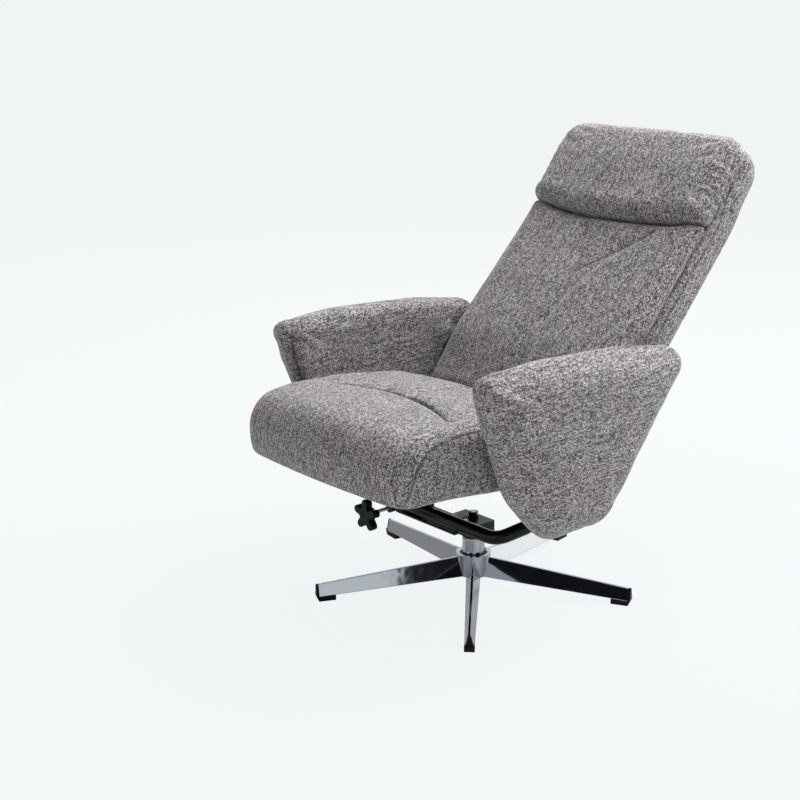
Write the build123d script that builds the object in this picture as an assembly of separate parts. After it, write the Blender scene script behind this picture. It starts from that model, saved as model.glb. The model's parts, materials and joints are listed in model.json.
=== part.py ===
"""Star base swivel recliner, reclined as it stands, in millimetres.

The origin is on the floor under the swivel axis, +Z is up, the chair faces -Y and +X is the
sitter's left. Each function makes one piece, and main writes one file for each.
"""
from build123d import *
from math import cos, degrees, radians, sin
import os

# --- star base ---
LEG_COUNT = 5
FIRST_LEG_ANGLE = -44.4
STAR_RADIUS = 363.0
LEG_ROOT_RADIUS = 24.0
LEG_ROOT_BOTTOM = 23.0
LEG_ROOT_TOP = 68.0
LEG_TIP_BOTTOM = 11.0
LEG_TIP_TOP = 38.0
LEG_ROOT_WIDTH = 33.0
LEG_TIP_WIDTH = 22.0
LEG_RIDGE_WIDTH = 6.0
LEG_WALL = 4.0
FOOT_PLATE = 6.0
FOOT_PAD_LENGTH = 43.0
FOOT_PLUG_HEIGHT = 4.0
FOOT_CHAMFER = 5.0
HUB_RIM_RADIUS = 39.0
HUB_FOOT_RADIUS = 34.0
HUB_TOP = 75.0
HUB_BOTTOM = 23.0
HUB_WEB_BOTTOM = 27.0
HUB_WEB_TOP = 33.0
HUB_RECESS_RADIUS = 22.0
HUB_RING_WIDTH = 4.5
HUB_RING_HEIGHT = 9.0
RIM_CHAMFER = 2.5

# --- column and swivel ---
COLUMN_RADIUS = 25.0
COLUMN_WALL = 2.5
COLUMN_TOP = 108.0
BUSH_LENGTH = 20.0
BUSH_FLANGE = 3.0
SPINDLE_RADIUS = 12.5
SPINDLE_STUD_RADIUS = 6.0
SPINDLE_FLOAT = 2.0
SPINDLE_TOP_RADIUS = 6.0
SPINDLE_TOP_LENGTH = 13.5
RUNNING_CLEARANCE = 0.05
THRUST_WASHER = 2.0
CLIP_THICKNESS = 3.0
CLIP_RADIUS = 11.0
NUT_ACROSS_FLATS = 19.0
NUT_HEIGHT = 10.0
NUT_WASHER = 3.0
NUT_WASHER_RADIUS = 12.0

# --- swivel bracket and chassis tube ---
BRACKET_BOTTOM = 130.0
BRACKET_TOP = 158.0
BRACKET_HALF_WIDTH = 47.0
BRACKET_REAR = 20.0
BRACKET_BOX_FRONT = -48.0
BRACKET_LIP_FRONT = -100.0
BRACKET_LIP_REACH = -150.0
BRACKET_WALL = 4.5
TUBE_RADIUS = 15.0
TUBE_WALL = 2.0
TUBE_FRONT_Y = -87.0
TUBE_CORNER_X = 165.0
TUBE_BEND_RADIUS = 60.0
TUBE_END_Y = 24.0
TUBE_END_Z = 256.0
SADDLE_WEB = 2.0
SADDLE_HALF_LENGTH = 44.0
SADDLE_HALF_WIDTH = 12.0
SADDLE_HEIGHT = 9.0

# --- width of the seat, and how the steel between cushion and arm is spaced outwards from it ---
SEAT_HALF_WIDTH = 262.0
CUSHION_TO_RAIL = 2.0
PLATE_THICKNESS = 4.0
STEEL_GAP = 4.0
LEVER_TO_PLATE = 12.0
ARM_THICKNESS = 76.0

# --- motion ---
SEAT_TILT = 7.0
SEAT_DATUM_Z = 310.0
BACK_TILT = 41.5
LINK_Y = 165.0
LINK_Z = 398.0
RECLINE_LEVER = 85.0
RECLINE_FORWARD = 24.0
RECLINE_REARWARD = 3.0
SLIDE_MARGIN = 1.5
RAIL_FRONT_P = -168.0
RAIL_SCREWS_P = (-154.0, -70.0, 12.0)
HINGE_PIN_RADIUS = 6.0
HINGE_BUSH_RADIUS = 9.0
HINGE_BUSH_FLANGE = 12.0
LINK_PIN_RADIUS = 5.0
LINK_SLOT_CLEARANCE = 0.6
LINK_SLOT_HEIGHT = 18.0
ROLLER_RADIUS = 8.0
ROLLER_CLEARANCE = 0.15
ROLLER_PIN_RADIUS = 4.0
ROLLER_FRONT_P = -128.0
ROLLER_REAR_P = 40.0
ROLLER_Q = 15.0

# --- arm ---
ARM_OUTLINE = ((-98, 212), (62, 212), (306, 556), (110, 590), (-130, 603), (-291, 592), (-270, 510),
               (-205, 335))
ARM_OUTER_OUTLINE = ((-70, 330), (48, 330), (272, 540), (105, 578), (-130, 590), (-276, 580),
                     (-238, 500), (-165, 395))
ARM_RADII = (60, 60, 32, 450, 350, 26, 200, 150)
ARM_INNER_EDGE = 22.0
ARM_INNER_DOME = 6.0
ARM_OUTER_EDGE = 22.0
ARM_OUTER_DOME = 4.0
ARM_DOME_RUN = 20.0
ARM_TAPER_START = 14.0
ARM_BOARD_INSET = 34.0
ARM_BOARD_DEPTH = 5.0
ARM_BOARD_THICKNESS = 18.0
ARM_BOLTS = ((-112, 358), (-30, 338), (78, 345), (162, 452))
BOLT_RADIUS = 4.0
BOLT_HEAD_RADIUS = 7.0
BOLT_HEAD_HEIGHT = 4.0
SIDE_PLATE_OUTLINE = ((-148, 326), (-60, 312), (-6, 236), (40, 236), (88, 290), (212, 462),
                      (212, 500), (172, 500), (108, 368), (60, 356), (-100, 370), (-148, 362))
SIDE_PLATE_CORNER = 8.0

# --- seat ---
SEAT_FRONT_P = -447.0
SEAT_FRONT_BOW = 20.0
SEAT_REAR_P = 66.0
SEAT_EDGE_HEIGHT = 139.0
SEAT_REAR_HEIGHT = 104.0
SEAT_CROWN = 13.0
SEAT_EDGE = 30.0
SEAT_CORNER = 56.0
SEAT_CORNER_DRAW = 34.0
SEAT_SIDE_DRAW = 15.0
SEAT_FRONT_DROOP = 10.0
SEAT_UNDER_RUN = 147.0
SEAT_ROLL_RUN = 121.0
SEAT_TOP_RUN = 247.0
SEAT_REAR_RUN = 86.0
SEAT_RECESS_DEPTH = 22.0
SEAT_FRAME_THICKNESS = 18.0
SEAT_FRAME_INSET = 32.0
SEAT_FRAME_FRONT_P = -406.0
SEAT_FRAME_REAR_P = 50.0
SEAT_FRAME_RAIL = 50.0
STRAP_WIDTH = 50.0
STRAP_THICKNESS = 2.0
SEAT_STRAPS = 5
DUST_COVER = 1.5
CHANNEL_RADIUS = 425.0
CHANNEL_MIDDLE_P = -219.0
CHANNEL_DEPTH = 9.0
PANEL_HALF_WIDTH = 192.0
BUMPER_X = 115.0
BUMPER_P = -392.0
BUMPER_RADIUS = 13.0
BUMPER_HEIGHT = 24.0

# --- back, in its own frame: u up along the back, w towards its rear ---
BACK_SIDE_ROOM = 4.0
BACK_SIDE_CROWN = 3.0
BACK_TOP_U = 706.0
BACK_BOTTOM_U = -50.0
BACK_SEAM_W = -28.0
BACK_REAR_W = 58.0
BACK_TOP_REAR_W = 36.0
BACK_REAR_BEND_U = 520.0
BACK_CROWN = 8.0
BACK_EDGE = 42.0
PAD_EDGE_SHARE = 0.45
BACK_CORNER_DROP = 48.0
HEAD_SEAM_U = 487.0
HEAD_SEAM_SMILE = 31.0
HEAD_FULLEST_SHARE = 0.42
HEAD_FACE_SHARE = 0.6
BACK_BOARD_THICKNESS = 18.0
BACK_BOARD_FRONT_W = -6.0
BACK_BOARD_INSET = 32.0
BACK_BOARD_BOTTOM_U = 30.0
BACK_BOARD_TOP_U = 640.0
BACK_BOARD_RAIL = 60.0
BACK_STRAPS = 5
LEVER_BOLTS_U = (118.0, 164.0)
LEVER_BOLT_W = 3.0
LEVER_OUTLINE = ((-17, -17), (-42, 22), (-51, 60), (-50, 96), (-20, 118), (-12, 178), (16, 178),
                 (18, 60), (17, -17))
LEVER_CORNER = 9.0

# --- recline brake and its knob ---
BRAKE_SHAFT_Y = -62.0
BRAKE_SHAFT_Z = 176.0
BRAKE_SHAFT_RADIUS = 5.0
BRAKE_SHAFT_LEFT = -150.0
BRAKE_SHAFT_RIGHT = 40.0
BRAKE_BEARING_X = 28.0
BRAKE_BEARING_LENGTH = 18.0
BRAKE_LEVER_X = -75.0
BRAKE_LEVER_THICKNESS = 6.0
BRAKE_LEVER_LENGTH = 110.0
BRAKE_LEVER_WIDTH = 18.0
BRAKE_PIN_RADIUS = 5.0
KNOB_X = -134.0
KNOB_BUSH_RADIUS = 11.0
KNOB_BUSH_FRONT = -134.0
SHAFT_CLAMP_SIZE = (26.0, 22.0)
SHAFT_CLAMP_TOP = 188.0
SCREW_RADIUS = 4.0
SCREW_REAR = -72.0
BRAKE_PAD_LENGTH = 4.0
KNOB_REAR = -188.0
KNOB_THICKNESS = 18.0
KNOB_HUB_RADIUS = 14.0
KNOB_HUB_LENGTH = 6.0
KNOB_LOBES = 5
KNOB_REACH = 37.0
KNOB_LOBE_RADIUS = 9.0
KNOB_EDGE = 2.5

# --- sizes worked out from those above ---
STAR_TIP = STAR_RADIUS - FOOT_PLATE
FLANGE_TOP = COLUMN_TOP + BUSH_FLANGE
COLLAR_BOTTOM = FLANGE_TOP + THRUST_WASHER
COLUMN_BORE = COLUMN_RADIUS - COLUMN_WALL
TUBE_Z = BRACKET_TOP + SADDLE_WEB + TUBE_RADIUS
RAIL_INNER = SEAT_HALF_WIDTH + CUSHION_TO_RAIL
RAIL_OUTER = RAIL_INNER + PLATE_THICKNESS
LEVER_INNER = RAIL_OUTER + STEEL_GAP
LEVER_OUTER = LEVER_INNER + PLATE_THICKNESS
SIDE_PLATE_INNER = LEVER_OUTER + LEVER_TO_PLATE
ARM_INNER = SIDE_PLATE_INNER + PLATE_THICKNESS
SEAT_FRAME_HALF_WIDTH = SEAT_HALF_WIDTH - SEAT_FRAME_INSET
BACK_HALF_WIDTH = SEAT_HALF_WIDTH - BACK_SIDE_ROOM
BACK_BOARD_HALF_WIDTH = BACK_HALF_WIDTH - BACK_BOARD_INSET
BOARD_INNER = ARM_INNER + ARM_BOARD_DEPTH
HALF_SWING = radians(RECLINE_FORWARD + RECLINE_REARWARD) / 2
GLIDE_PER_RADIAN = RECLINE_LEVER * sin(HALF_SWING) / HALF_SWING
GLIDE_FORWARD = radians(RECLINE_REARWARD) * GLIDE_PER_RADIAN
GLIDE_REARWARD = radians(RECLINE_FORWARD) * GLIDE_PER_RADIAN
MID_SWING = (RECLINE_FORWARD - RECLINE_REARWARD) / 2
HINGE_Y = LINK_Y + RECLINE_LEVER * sin(radians(SEAT_TILT + MID_SWING))
HINGE_Z = LINK_Z + RECLINE_LEVER * cos(radians(SEAT_TILT + MID_SWING))

SEAT_PLACE = Location((0, 0, SEAT_DATUM_Z), (-SEAT_TILT, 0, 0))
BACK_PLACE = Location((0, LINK_Y, LINK_Z), (-BACK_TILT, 0, 0))


# --- helpers ---
def side_face(x, points, radii):
    """Closed outline of (y, z) points with rounded corners, on the plane at x."""
    outline = FilletPolyline(*points, radius=radii, close=True)
    return Plane(origin=(x, 0, 0), x_dir=(0, 1, 0), z_dir=(1, 0, 0)) * make_face(outline)


def side_panel(x_from, x_to, points, radii):
    """Flat panel between two x planes."""
    low, high = min(x_from, x_to), max(x_from, x_to)
    return extrude(side_face(low, points, radii), amount=high - low)


def inset_points(points, inset):
    """Corners of an anticlockwise outline after every side has moved inwards."""
    moved = []
    count = len(points)
    for index in range(count):
        corner = Vector(*points[index])
        before = (corner - Vector(*points[index - 1])).normalized()
        after = (Vector(*points[(index + 1) % count]) - corner).normalized()
        inward = Vector(-before.Y - after.Y, before.X + after.X).normalized()
        reach = inset / inward.dot(Vector(-before.Y, before.X))
        moved.append((corner.X + inward.X * reach, corner.Y + inward.Y * reach))
    return moved


def inset_face(x, points, radii, inset, least=3.0):
    """Side face of an outline moved inwards, with its corners tightened to match."""
    return side_face(x, inset_points(points, inset), [max(r - inset, least) for r in radii])


def stations_across(half, edge):
    """Distances from the middle to cut a cushion at, closer together where its edge turns."""
    middle = [share * (half - edge) for share in (0, 0.3, 0.55, 0.78, 1.0)]
    return middle + [half - edge * (1 - sin(radians(turn))) for turn in (22, 42, 60, 76, 90)]


def loft_across(half, edge, profile):
    """Solid that passes through the profile at each station, mirrored about the middle."""
    stations = stations_across(half, edge)
    positions = [-s for s in reversed(stations) if s > 0] + stations
    return loft([side_face(x, *profile(abs(x))) for x in positions], ruled=True)


def edge_fullness(distance, half, edge):
    """Quarter-ellipse edge: 1 up to where the edge starts to turn, 0 at the side."""
    into = max(0.0, distance - (half - edge)) / edge
    return max(0.0, 1 - into * into) ** 0.5


def rod(start, end, radius):
    """Round bar from one point to another."""
    axis = Vector(*end) - Vector(*start)
    section = Plane(origin=start, z_dir=axis) * Circle(radius)
    return extrude(section, amount=axis.length)


def cross_rod(x_from, x_to, y, z, radius):
    """Round bar along X."""
    return rod((x_from, y, z), (x_to, y, z), radius)


def block(x, y, z):
    """Box between two values on each axis."""
    size = (x[1] - x[0], y[1] - y[0], z[1] - z[0])
    middle = ((x[0] + x[1]) / 2, (y[0] + y[1]) / 2, (z[0] + z[1]) / 2)
    return Pos(*middle) * Box(*size)


def ring(outer, inner, bottom, top):
    """Upright ring about the swivel axis."""
    wall = Circle(outer) - Circle(inner)
    return extrude(Pos(0, 0, bottom) * wall, amount=top - bottom)


def disc(radius, bottom, top):
    """Upright disc about the swivel axis."""
    return extrude(Pos(0, 0, bottom) * Circle(radius), amount=top - bottom)


def mirrored(solid):
    """The same piece on the other side of the chair."""
    return mirror(solid, about=Plane.YZ)


# --- star base ---
def leg_section(radius, bottom, top, width, ridge):
    """Gabled cross-section of a leg: wide at the foot, a narrow flat ridge on top."""
    points = ((-width / 2, bottom), (width / 2, bottom), (ridge / 2, top), (-ridge / 2, top))
    outline = FilletPolyline(*points, radius=1.0, close=True)
    return Plane(origin=(radius, 0, 0), x_dir=(0, 1, 0), z_dir=(1, 0, 0)) * make_face(outline)


def leg_body():
    """One leg along +X, before it is hollowed."""
    root = leg_section(LEG_ROOT_RADIUS, LEG_ROOT_BOTTOM, LEG_ROOT_TOP, LEG_ROOT_WIDTH, LEG_RIDGE_WIDTH)
    tip = leg_section(STAR_TIP, LEG_TIP_BOTTOM, LEG_TIP_TOP, LEG_TIP_WIDTH, LEG_RIDGE_WIDTH)
    return loft([root, tip], ruled=True)


def leg_pocket():
    """Hollow underside of a leg, closed at both ends."""
    sections = []
    for share in (0.14, 0.985):
        radius = LEG_ROOT_RADIUS + share * (STAR_TIP - LEG_ROOT_RADIUS)
        top = LEG_ROOT_TOP + share * (LEG_TIP_TOP - LEG_ROOT_TOP) - 2 * LEG_WALL
        width = LEG_ROOT_WIDTH + share * (LEG_TIP_WIDTH - LEG_ROOT_WIDTH) - 2 * LEG_WALL
        sections.append(leg_section(radius, LEG_TIP_BOTTOM - LEG_WALL, top, width, LEG_RIDGE_WIDTH / 2))
    return loft(sections, ruled=True)


def leg_turns():
    """Angles of the legs about the swivel axis."""
    return [FIRST_LEG_ANGLE + 360.0 / LEG_COUNT * index for index in range(LEG_COUNT)]


def star_base():
    """Cast star: hub cup with five hollow legs."""
    cup = Pos(0, 0, (HUB_TOP + HUB_BOTTOM) / 2) * Cone(HUB_FOOT_RADIUS, HUB_RIM_RADIUS,
                                                       HUB_TOP - HUB_BOTTOM)
    leg = leg_body() - leg_pocket()
    star = cup
    for turn in leg_turns():
        star += Rot(0, 0, turn) * leg
    star -= disc(HUB_RIM_RADIUS * 2, HUB_TOP, HUB_TOP + LEG_ROOT_TOP)
    star -= disc(HUB_RECESS_RADIUS, 0, HUB_WEB_BOTTOM)
    star -= disc(SPINDLE_STUD_RADIUS + RUNNING_CLEARANCE, 0, HUB_TOP)
    star -= disc(COLUMN_RADIUS, HUB_WEB_TOP, HUB_TOP)
    star -= disc(COLUMN_RADIUS + HUB_RING_WIDTH, HUB_TOP - HUB_RING_HEIGHT, HUB_TOP)
    funnel = COLUMN_RADIUS + HUB_RING_WIDTH
    star -= Pos(0, 0, HUB_TOP - RIM_CHAMFER / 2) * Cone(funnel, funnel + RIM_CHAMFER, RIM_CHAMFER)
    return star


def foot_caps():
    """Black end cap on each leg: an end plate, a pad under the leg and a plug up inside it."""
    pad_start = STAR_RADIUS - FOOT_PAD_LENGTH
    plate = leg_section(STAR_TIP, 0, LEG_TIP_TOP, LEG_TIP_WIDTH, LEG_RIDGE_WIDTH)
    cap = extrude(plate, amount=FOOT_PLATE)
    half_pad = LEG_TIP_WIDTH / 2
    cap += block((pad_start, STAR_RADIUS), (-half_pad, half_pad), (0, LEG_TIP_BOTTOM + FOOT_PLUG_HEIGHT))
    wedge = Polyline((STAR_RADIUS - FOOT_CHAMFER, 0), (STAR_RADIUS, 2 * FOOT_CHAMFER), (STAR_RADIUS, 0),
                     close=True)
    cap -= extrude(Plane.XZ * make_face(wedge), amount=LEG_TIP_WIDTH, both=True)
    lid = leg_section(pad_start - 1, LEG_TIP_BOTTOM, LEG_TIP_TOP + 1, 3 * LEG_TIP_WIDTH, 3 * LEG_TIP_WIDTH)
    shoulder = extrude(lid, amount=STAR_TIP - pad_start + 1) - leg_pocket()
    cap = cap - leg_body() - (shoulder - leg_pocket())
    cap = Part() + [solid for solid in cap.solids()]
    return [Rot(0, 0, turn) * cap for turn in leg_turns()]


def hub_ring():
    """Black ring that fills the gap between cup and column."""
    return ring(COLUMN_RADIUS + HUB_RING_WIDTH, COLUMN_RADIUS, HUB_TOP - HUB_RING_HEIGHT, HUB_TOP - 1)


def base_column():
    """Chromed column tube that stands in the hub."""
    return ring(COLUMN_RADIUS, COLUMN_BORE, HUB_WEB_TOP, COLUMN_TOP)


def lower_bush():
    """Plain sleeve at the foot of the column."""
    bore = SPINDLE_RADIUS + RUNNING_CLEARANCE
    return ring(COLUMN_BORE, bore, HUB_WEB_TOP, HUB_WEB_TOP + BUSH_LENGTH)


def upper_bush():
    """Sleeve at the column's mouth, with a flange on its rim."""
    bore = SPINDLE_RADIUS + RUNNING_CLEARANCE
    sleeve = ring(COLUMN_BORE, bore, COLUMN_TOP - BUSH_LENGTH, FLANGE_TOP)
    return sleeve + ring(COLUMN_RADIUS, bore, COLUMN_TOP, FLANGE_TOP)


def thrust_washer():
    """Washer that the collar turns on."""
    return ring(COLUMN_RADIUS - 1, SPINDLE_RADIUS + 1, FLANGE_TOP, COLLAR_BOTTOM)


# --- swivel ---
def swivel_spindle():
    """Turned spindle: a thin stud through the hub web, a shoulder under the nut."""
    foot = HUB_WEB_TOP + SPINDLE_FLOAT
    stud = disc(SPINDLE_STUD_RADIUS, HUB_WEB_BOTTOM - 2 * CLIP_THICKNESS - 1, foot)
    body = disc(SPINDLE_RADIUS, foot, BRACKET_TOP - BRACKET_WALL)
    top = disc(SPINDLE_TOP_RADIUS, BRACKET_TOP - BRACKET_WALL, BRACKET_TOP + SPINDLE_TOP_LENGTH)
    return stud + body + top


def spindle_clip():
    """Washer and clip that keep the spindle in the hub."""
    top = HUB_WEB_BOTTOM - RUNNING_CLEARANCE * 2
    washer = ring(CLIP_RADIUS + 3, SPINDLE_STUD_RADIUS, top - CLIP_THICKNESS, top)
    return washer + ring(CLIP_RADIUS, SPINDLE_STUD_RADIUS, top - 2 * CLIP_THICKNESS, top - CLIP_THICKNESS)


def swivel_collar():
    """Black collar between column and bracket."""
    return ring(COLUMN_RADIUS, SPINDLE_RADIUS, COLLAR_BOTTOM, BRACKET_BOTTOM)


def spindle_nut():
    """Washer and hexagon nut on top of the bracket."""
    washer = ring(NUT_WASHER_RADIUS, SPINDLE_TOP_RADIUS, BRACKET_TOP, BRACKET_TOP + NUT_WASHER)
    hexagon = RegularPolygon(NUT_ACROSS_FLATS / 2, 6, major_radius=False) - Circle(SPINDLE_TOP_RADIUS)
    return washer + extrude(Pos(0, 0, BRACKET_TOP + NUT_WASHER) * hexagon, amount=NUT_HEIGHT)


def swivel_bracket():
    """Box bracket welded from sheet, with a lip that carries the tube."""
    half = BRACKET_HALF_WIDTH
    wall = BRACKET_WALL
    box = block((-half, half), (BRACKET_BOX_FRONT, BRACKET_REAR), (BRACKET_BOTTOM, BRACKET_TOP))
    box -= block((-half + wall, half - wall), (BRACKET_BOX_FRONT + wall, BRACKET_REAR - wall),
                 (BRACKET_BOTTOM + wall, BRACKET_TOP - wall))
    lip = block((BRACKET_LIP_REACH, half), (BRACKET_LIP_FRONT, BRACKET_BOX_FRONT),
                (BRACKET_TOP - wall, BRACKET_TOP))
    bracket = box + lip
    bracket -= disc(SPINDLE_RADIUS, BRACKET_BOTTOM, BRACKET_TOP - wall)
    return bracket - disc(SPINDLE_TOP_RADIUS, BRACKET_BOTTOM, BRACKET_TOP)


# --- chassis ---
def tube_path():
    """Centre line of the tube: level in front, then back, out and up to each side plate."""
    corner = Vector(TUBE_CORNER_X, TUBE_FRONT_Y, TUBE_Z)
    end = Vector(SIDE_PLATE_INNER, TUBE_END_Y, TUBE_END_Z)
    beyond = end + (end - corner).normalized() * 2 * TUBE_RADIUS
    right = [(corner.X, corner.Y, corner.Z), (beyond.X, beyond.Y, beyond.Z)]
    left = [(-x, y, z) for x, y, z in reversed(right)]
    return FilletPolyline(*left, *right, radius=TUBE_BEND_RADIUS)


def swept_tube(radius):
    """Round bar along the tube's centre line, cut off at the side plates."""
    path = tube_path()
    start = Plane(origin=path @ 0, z_dir=path % 0)
    bar = sweep(start * Circle(radius), path=path)
    inner = SIDE_PLATE_INNER
    return bar & block((-inner, inner), (2 * TUBE_FRONT_Y, 4 * TUBE_END_Y), (0, 2 * TUBE_END_Z))


def knob_bush_core():
    """Space of the threaded bush that runs through the tube."""
    return rod((KNOB_X, KNOB_BUSH_FRONT, BRAKE_SHAFT_Z), (KNOB_X, SCREW_REAR, BRAKE_SHAFT_Z),
               KNOB_BUSH_RADIUS)


def chassis_tube():
    """Bent round tube that joins both side plates to the bracket."""
    return swept_tube(TUBE_RADIUS) - swept_tube(TUBE_RADIUS - TUBE_WALL) - knob_bush_core()


def tube_saddle():
    """Welded saddle between the bracket's lip and the tube."""
    half = SADDLE_HALF_LENGTH
    pad = block((-half, half), (TUBE_FRONT_Y - SADDLE_HALF_WIDTH, TUBE_FRONT_Y + SADDLE_HALF_WIDTH),
                (BRACKET_TOP, BRACKET_TOP + SADDLE_HEIGHT))
    return pad - cross_rod(-half, half, TUBE_FRONT_Y, TUBE_Z, TUBE_RADIUS)


def seat_point(p, q):
    """Row-frame y and z of a point given in the seat's own frame."""
    tilt = radians(SEAT_TILT)
    return (p * cos(tilt) + q * sin(tilt), SEAT_DATUM_Z - p * sin(tilt) + q * cos(tilt))


def roller_slot(p):
    """Inclined slot that one glide roller runs in."""
    low = p - GLIDE_FORWARD - SLIDE_MARGIN
    high = p + GLIDE_REARWARD + SLIDE_MARGIN
    radius = ROLLER_RADIUS + ROLLER_CLEARANCE
    ends = [cross_rod(SIDE_PLATE_INNER, ARM_INNER, *seat_point(at, ROLLER_Q), radius) for at in (low, high)]
    span = SEAT_PLACE * block((SIDE_PLATE_INNER, ARM_INNER), (low, high), (ROLLER_Q - radius,
                                                                         ROLLER_Q + radius))
    return span + ends[0] + ends[1]


def side_plate():
    """Steel side plate on the left arm: two slots, the back's hinge hole and four bolt holes."""
    plate = side_panel(SIDE_PLATE_INNER, ARM_INNER, SIDE_PLATE_OUTLINE, SIDE_PLATE_CORNER)
    for p in (ROLLER_FRONT_P, ROLLER_REAR_P):
        plate -= roller_slot(p)
    plate -= cross_rod(SIDE_PLATE_INNER, ARM_INNER, HINGE_Y, HINGE_Z, HINGE_BUSH_RADIUS)
    for y, z in ARM_BOLTS:
        plate -= cross_rod(SIDE_PLATE_INNER, ARM_INNER, y, z, BOLT_RADIUS)
    return plate


def hinge_bush():
    """Flanged bush that the back's hinge pin turns in."""
    body = cross_rod(SIDE_PLATE_INNER, ARM_INNER, HINGE_Y, HINGE_Z, HINGE_BUSH_RADIUS)
    flange = cross_rod(SIDE_PLATE_INNER - BUSH_FLANGE, SIDE_PLATE_INNER, HINGE_Y, HINGE_Z, HINGE_BUSH_FLANGE)
    bore = cross_rod(SIDE_PLATE_INNER - BUSH_FLANGE, ARM_INNER, HINGE_Y, HINGE_Z,
                     HINGE_PIN_RADIUS + RUNNING_CLEARANCE)
    return body + flange - bore


def arm_board():
    """Plywood board inside the left arm."""
    board = extrude(inset_face(BOARD_INNER, ARM_OUTLINE, ARM_RADII, ARM_BOARD_INSET),
                    amount=ARM_BOARD_THICKNESS)
    for y, z in ARM_BOLTS:
        board -= cross_rod(BOARD_INNER, BOARD_INNER + ARM_BOARD_THICKNESS, y, z, BOLT_RADIUS)
    return board


def arm_section(depth, inset):
    """Outline of the arm at a depth from its inner face: full inside, thinner low down outside."""
    into = max(0.0, depth - ARM_TAPER_START) / (ARM_THICKNESS - ARM_OUTER_DOME - ARM_TAPER_START)
    share = 1 - (1 - min(into, 1.0) ** 2) ** 0.5
    points = []
    for inner, outer in zip(ARM_OUTLINE, ARM_OUTER_OUTLINE):
        points.append((inner[0] + (outer[0] - inner[0]) * share, inner[1] + (outer[1] - inner[1]) * share))
    radii = [radius * (1 - 0.5 * share) for radius in ARM_RADII]
    return inset_face(ARM_INNER + depth, points, radii, inset)


def arm_pad():
    """Padded left arm round its board: a thick roll on top, thinner towards its lower edges."""
    sections = []
    for turn in (0, 18, 36, 56, 76, 90):
        depth = ARM_INNER_EDGE * (1 - cos(radians(turn)))
        inset = ARM_INNER_EDGE * (1 - sin(radians(turn))) + (ARM_INNER_DOME if turn == 0 else 0)
        sections.append(arm_section(depth, inset))
    face = ARM_THICKNESS - ARM_OUTER_DOME
    for share in (0.3, 0.6, 0.85):
        sections.append(arm_section(ARM_INNER_EDGE + (face - ARM_OUTER_EDGE - ARM_INNER_EDGE) * share, 0))
    for turn in (80, 62, 45, 30, 15, 0):
        depth = face - ARM_OUTER_EDGE * (1 - cos(radians(turn)))
        sections.append(arm_section(depth, ARM_OUTER_EDGE * (1 - sin(radians(turn)))))
    sections.append(arm_section(face + ARM_OUTER_DOME * 0.7, ARM_OUTER_EDGE + ARM_DOME_RUN * 0.4))
    sections.append(arm_section(face + ARM_OUTER_DOME, ARM_OUTER_EDGE + ARM_DOME_RUN))
    pad = loft(sections, ruled=True)
    cavity = extrude(inset_face(BOARD_INNER, ARM_OUTLINE, ARM_RADII, ARM_BOARD_INSET),
                     amount=ARM_BOARD_THICKNESS)
    pad -= cavity
    for y, z in ARM_BOLTS:
        pad -= cross_rod(ARM_INNER, BOARD_INNER, y, z, BOLT_RADIUS)
    return pad


def arm_bolts():
    """Four bolts that hold the left arm to its side plate."""
    bolts = []
    for y, z in ARM_BOLTS:
        head = cross_rod(SIDE_PLATE_INNER - BOLT_HEAD_HEIGHT, SIDE_PLATE_INNER, y, z, BOLT_HEAD_RADIUS)
        shank = cross_rod(SIDE_PLATE_INNER, BOARD_INNER + ARM_BOARD_THICKNESS, y, z, BOLT_RADIUS)
        bolts.append(head + shank)
    return bolts


# --- recline brake ---
def knob_bush():
    """Threaded bush through the tube, for the clamp screw."""
    bore = rod((KNOB_X, KNOB_BUSH_FRONT, BRAKE_SHAFT_Z), (KNOB_X, SCREW_REAR, BRAKE_SHAFT_Z),
               SCREW_RADIUS + RUNNING_CLEARANCE)
    return knob_bush_core() - bore


def shaft_clamp():
    """Block behind the tube: it holds the shaft's end and the brake pad."""
    width, depth = SHAFT_CLAMP_SIZE
    body = block((KNOB_X - width / 2, KNOB_X + width / 2), (SCREW_REAR, SCREW_REAR + depth),
                 (BRACKET_TOP, SHAFT_CLAMP_TOP))
    body -= cross_rod(KNOB_X - width, KNOB_X + width, BRAKE_SHAFT_Y, BRAKE_SHAFT_Z,
                      BRAKE_SHAFT_RADIUS + RUNNING_CLEARANCE)
    body -= rod((KNOB_X, SCREW_REAR, BRAKE_SHAFT_Z), (KNOB_X, BRAKE_SHAFT_Y, BRAKE_SHAFT_Z),
                SCREW_RADIUS + RUNNING_CLEARANCE)
    return body - swept_tube(TUBE_RADIUS)


def brake_pad():
    """Nylon pad between the screw's end and the shaft."""
    start = SCREW_REAR + RUNNING_CLEARANCE
    end = min(start + BRAKE_PAD_LENGTH, BRAKE_SHAFT_Y - BRAKE_SHAFT_RADIUS - 2 * RUNNING_CLEARANCE)
    return rod((KNOB_X, start, BRAKE_SHAFT_Z), (KNOB_X, end, BRAKE_SHAFT_Z), SCREW_RADIUS)


def shaft_bearing():
    """Bearing block for the shaft's other end, on the bracket."""
    half = BRAKE_BEARING_LENGTH / 2
    body = block((BRAKE_BEARING_X - half, BRAKE_BEARING_X + half),
                 (BRAKE_SHAFT_Y - 2 * BRAKE_SHAFT_RADIUS, BRAKE_SHAFT_Y + 2 * BRAKE_SHAFT_RADIUS),
                 (BRACKET_TOP, BRAKE_SHAFT_Z + 1.6 * BRAKE_SHAFT_RADIUS))
    body -= cross_rod(BRAKE_BEARING_X - half, BRAKE_BEARING_X + half, BRAKE_SHAFT_Y, BRAKE_SHAFT_Z,
                      BRAKE_SHAFT_RADIUS + RUNNING_CLEARANCE)
    return body - swept_tube(TUBE_RADIUS) - tube_saddle()


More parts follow.
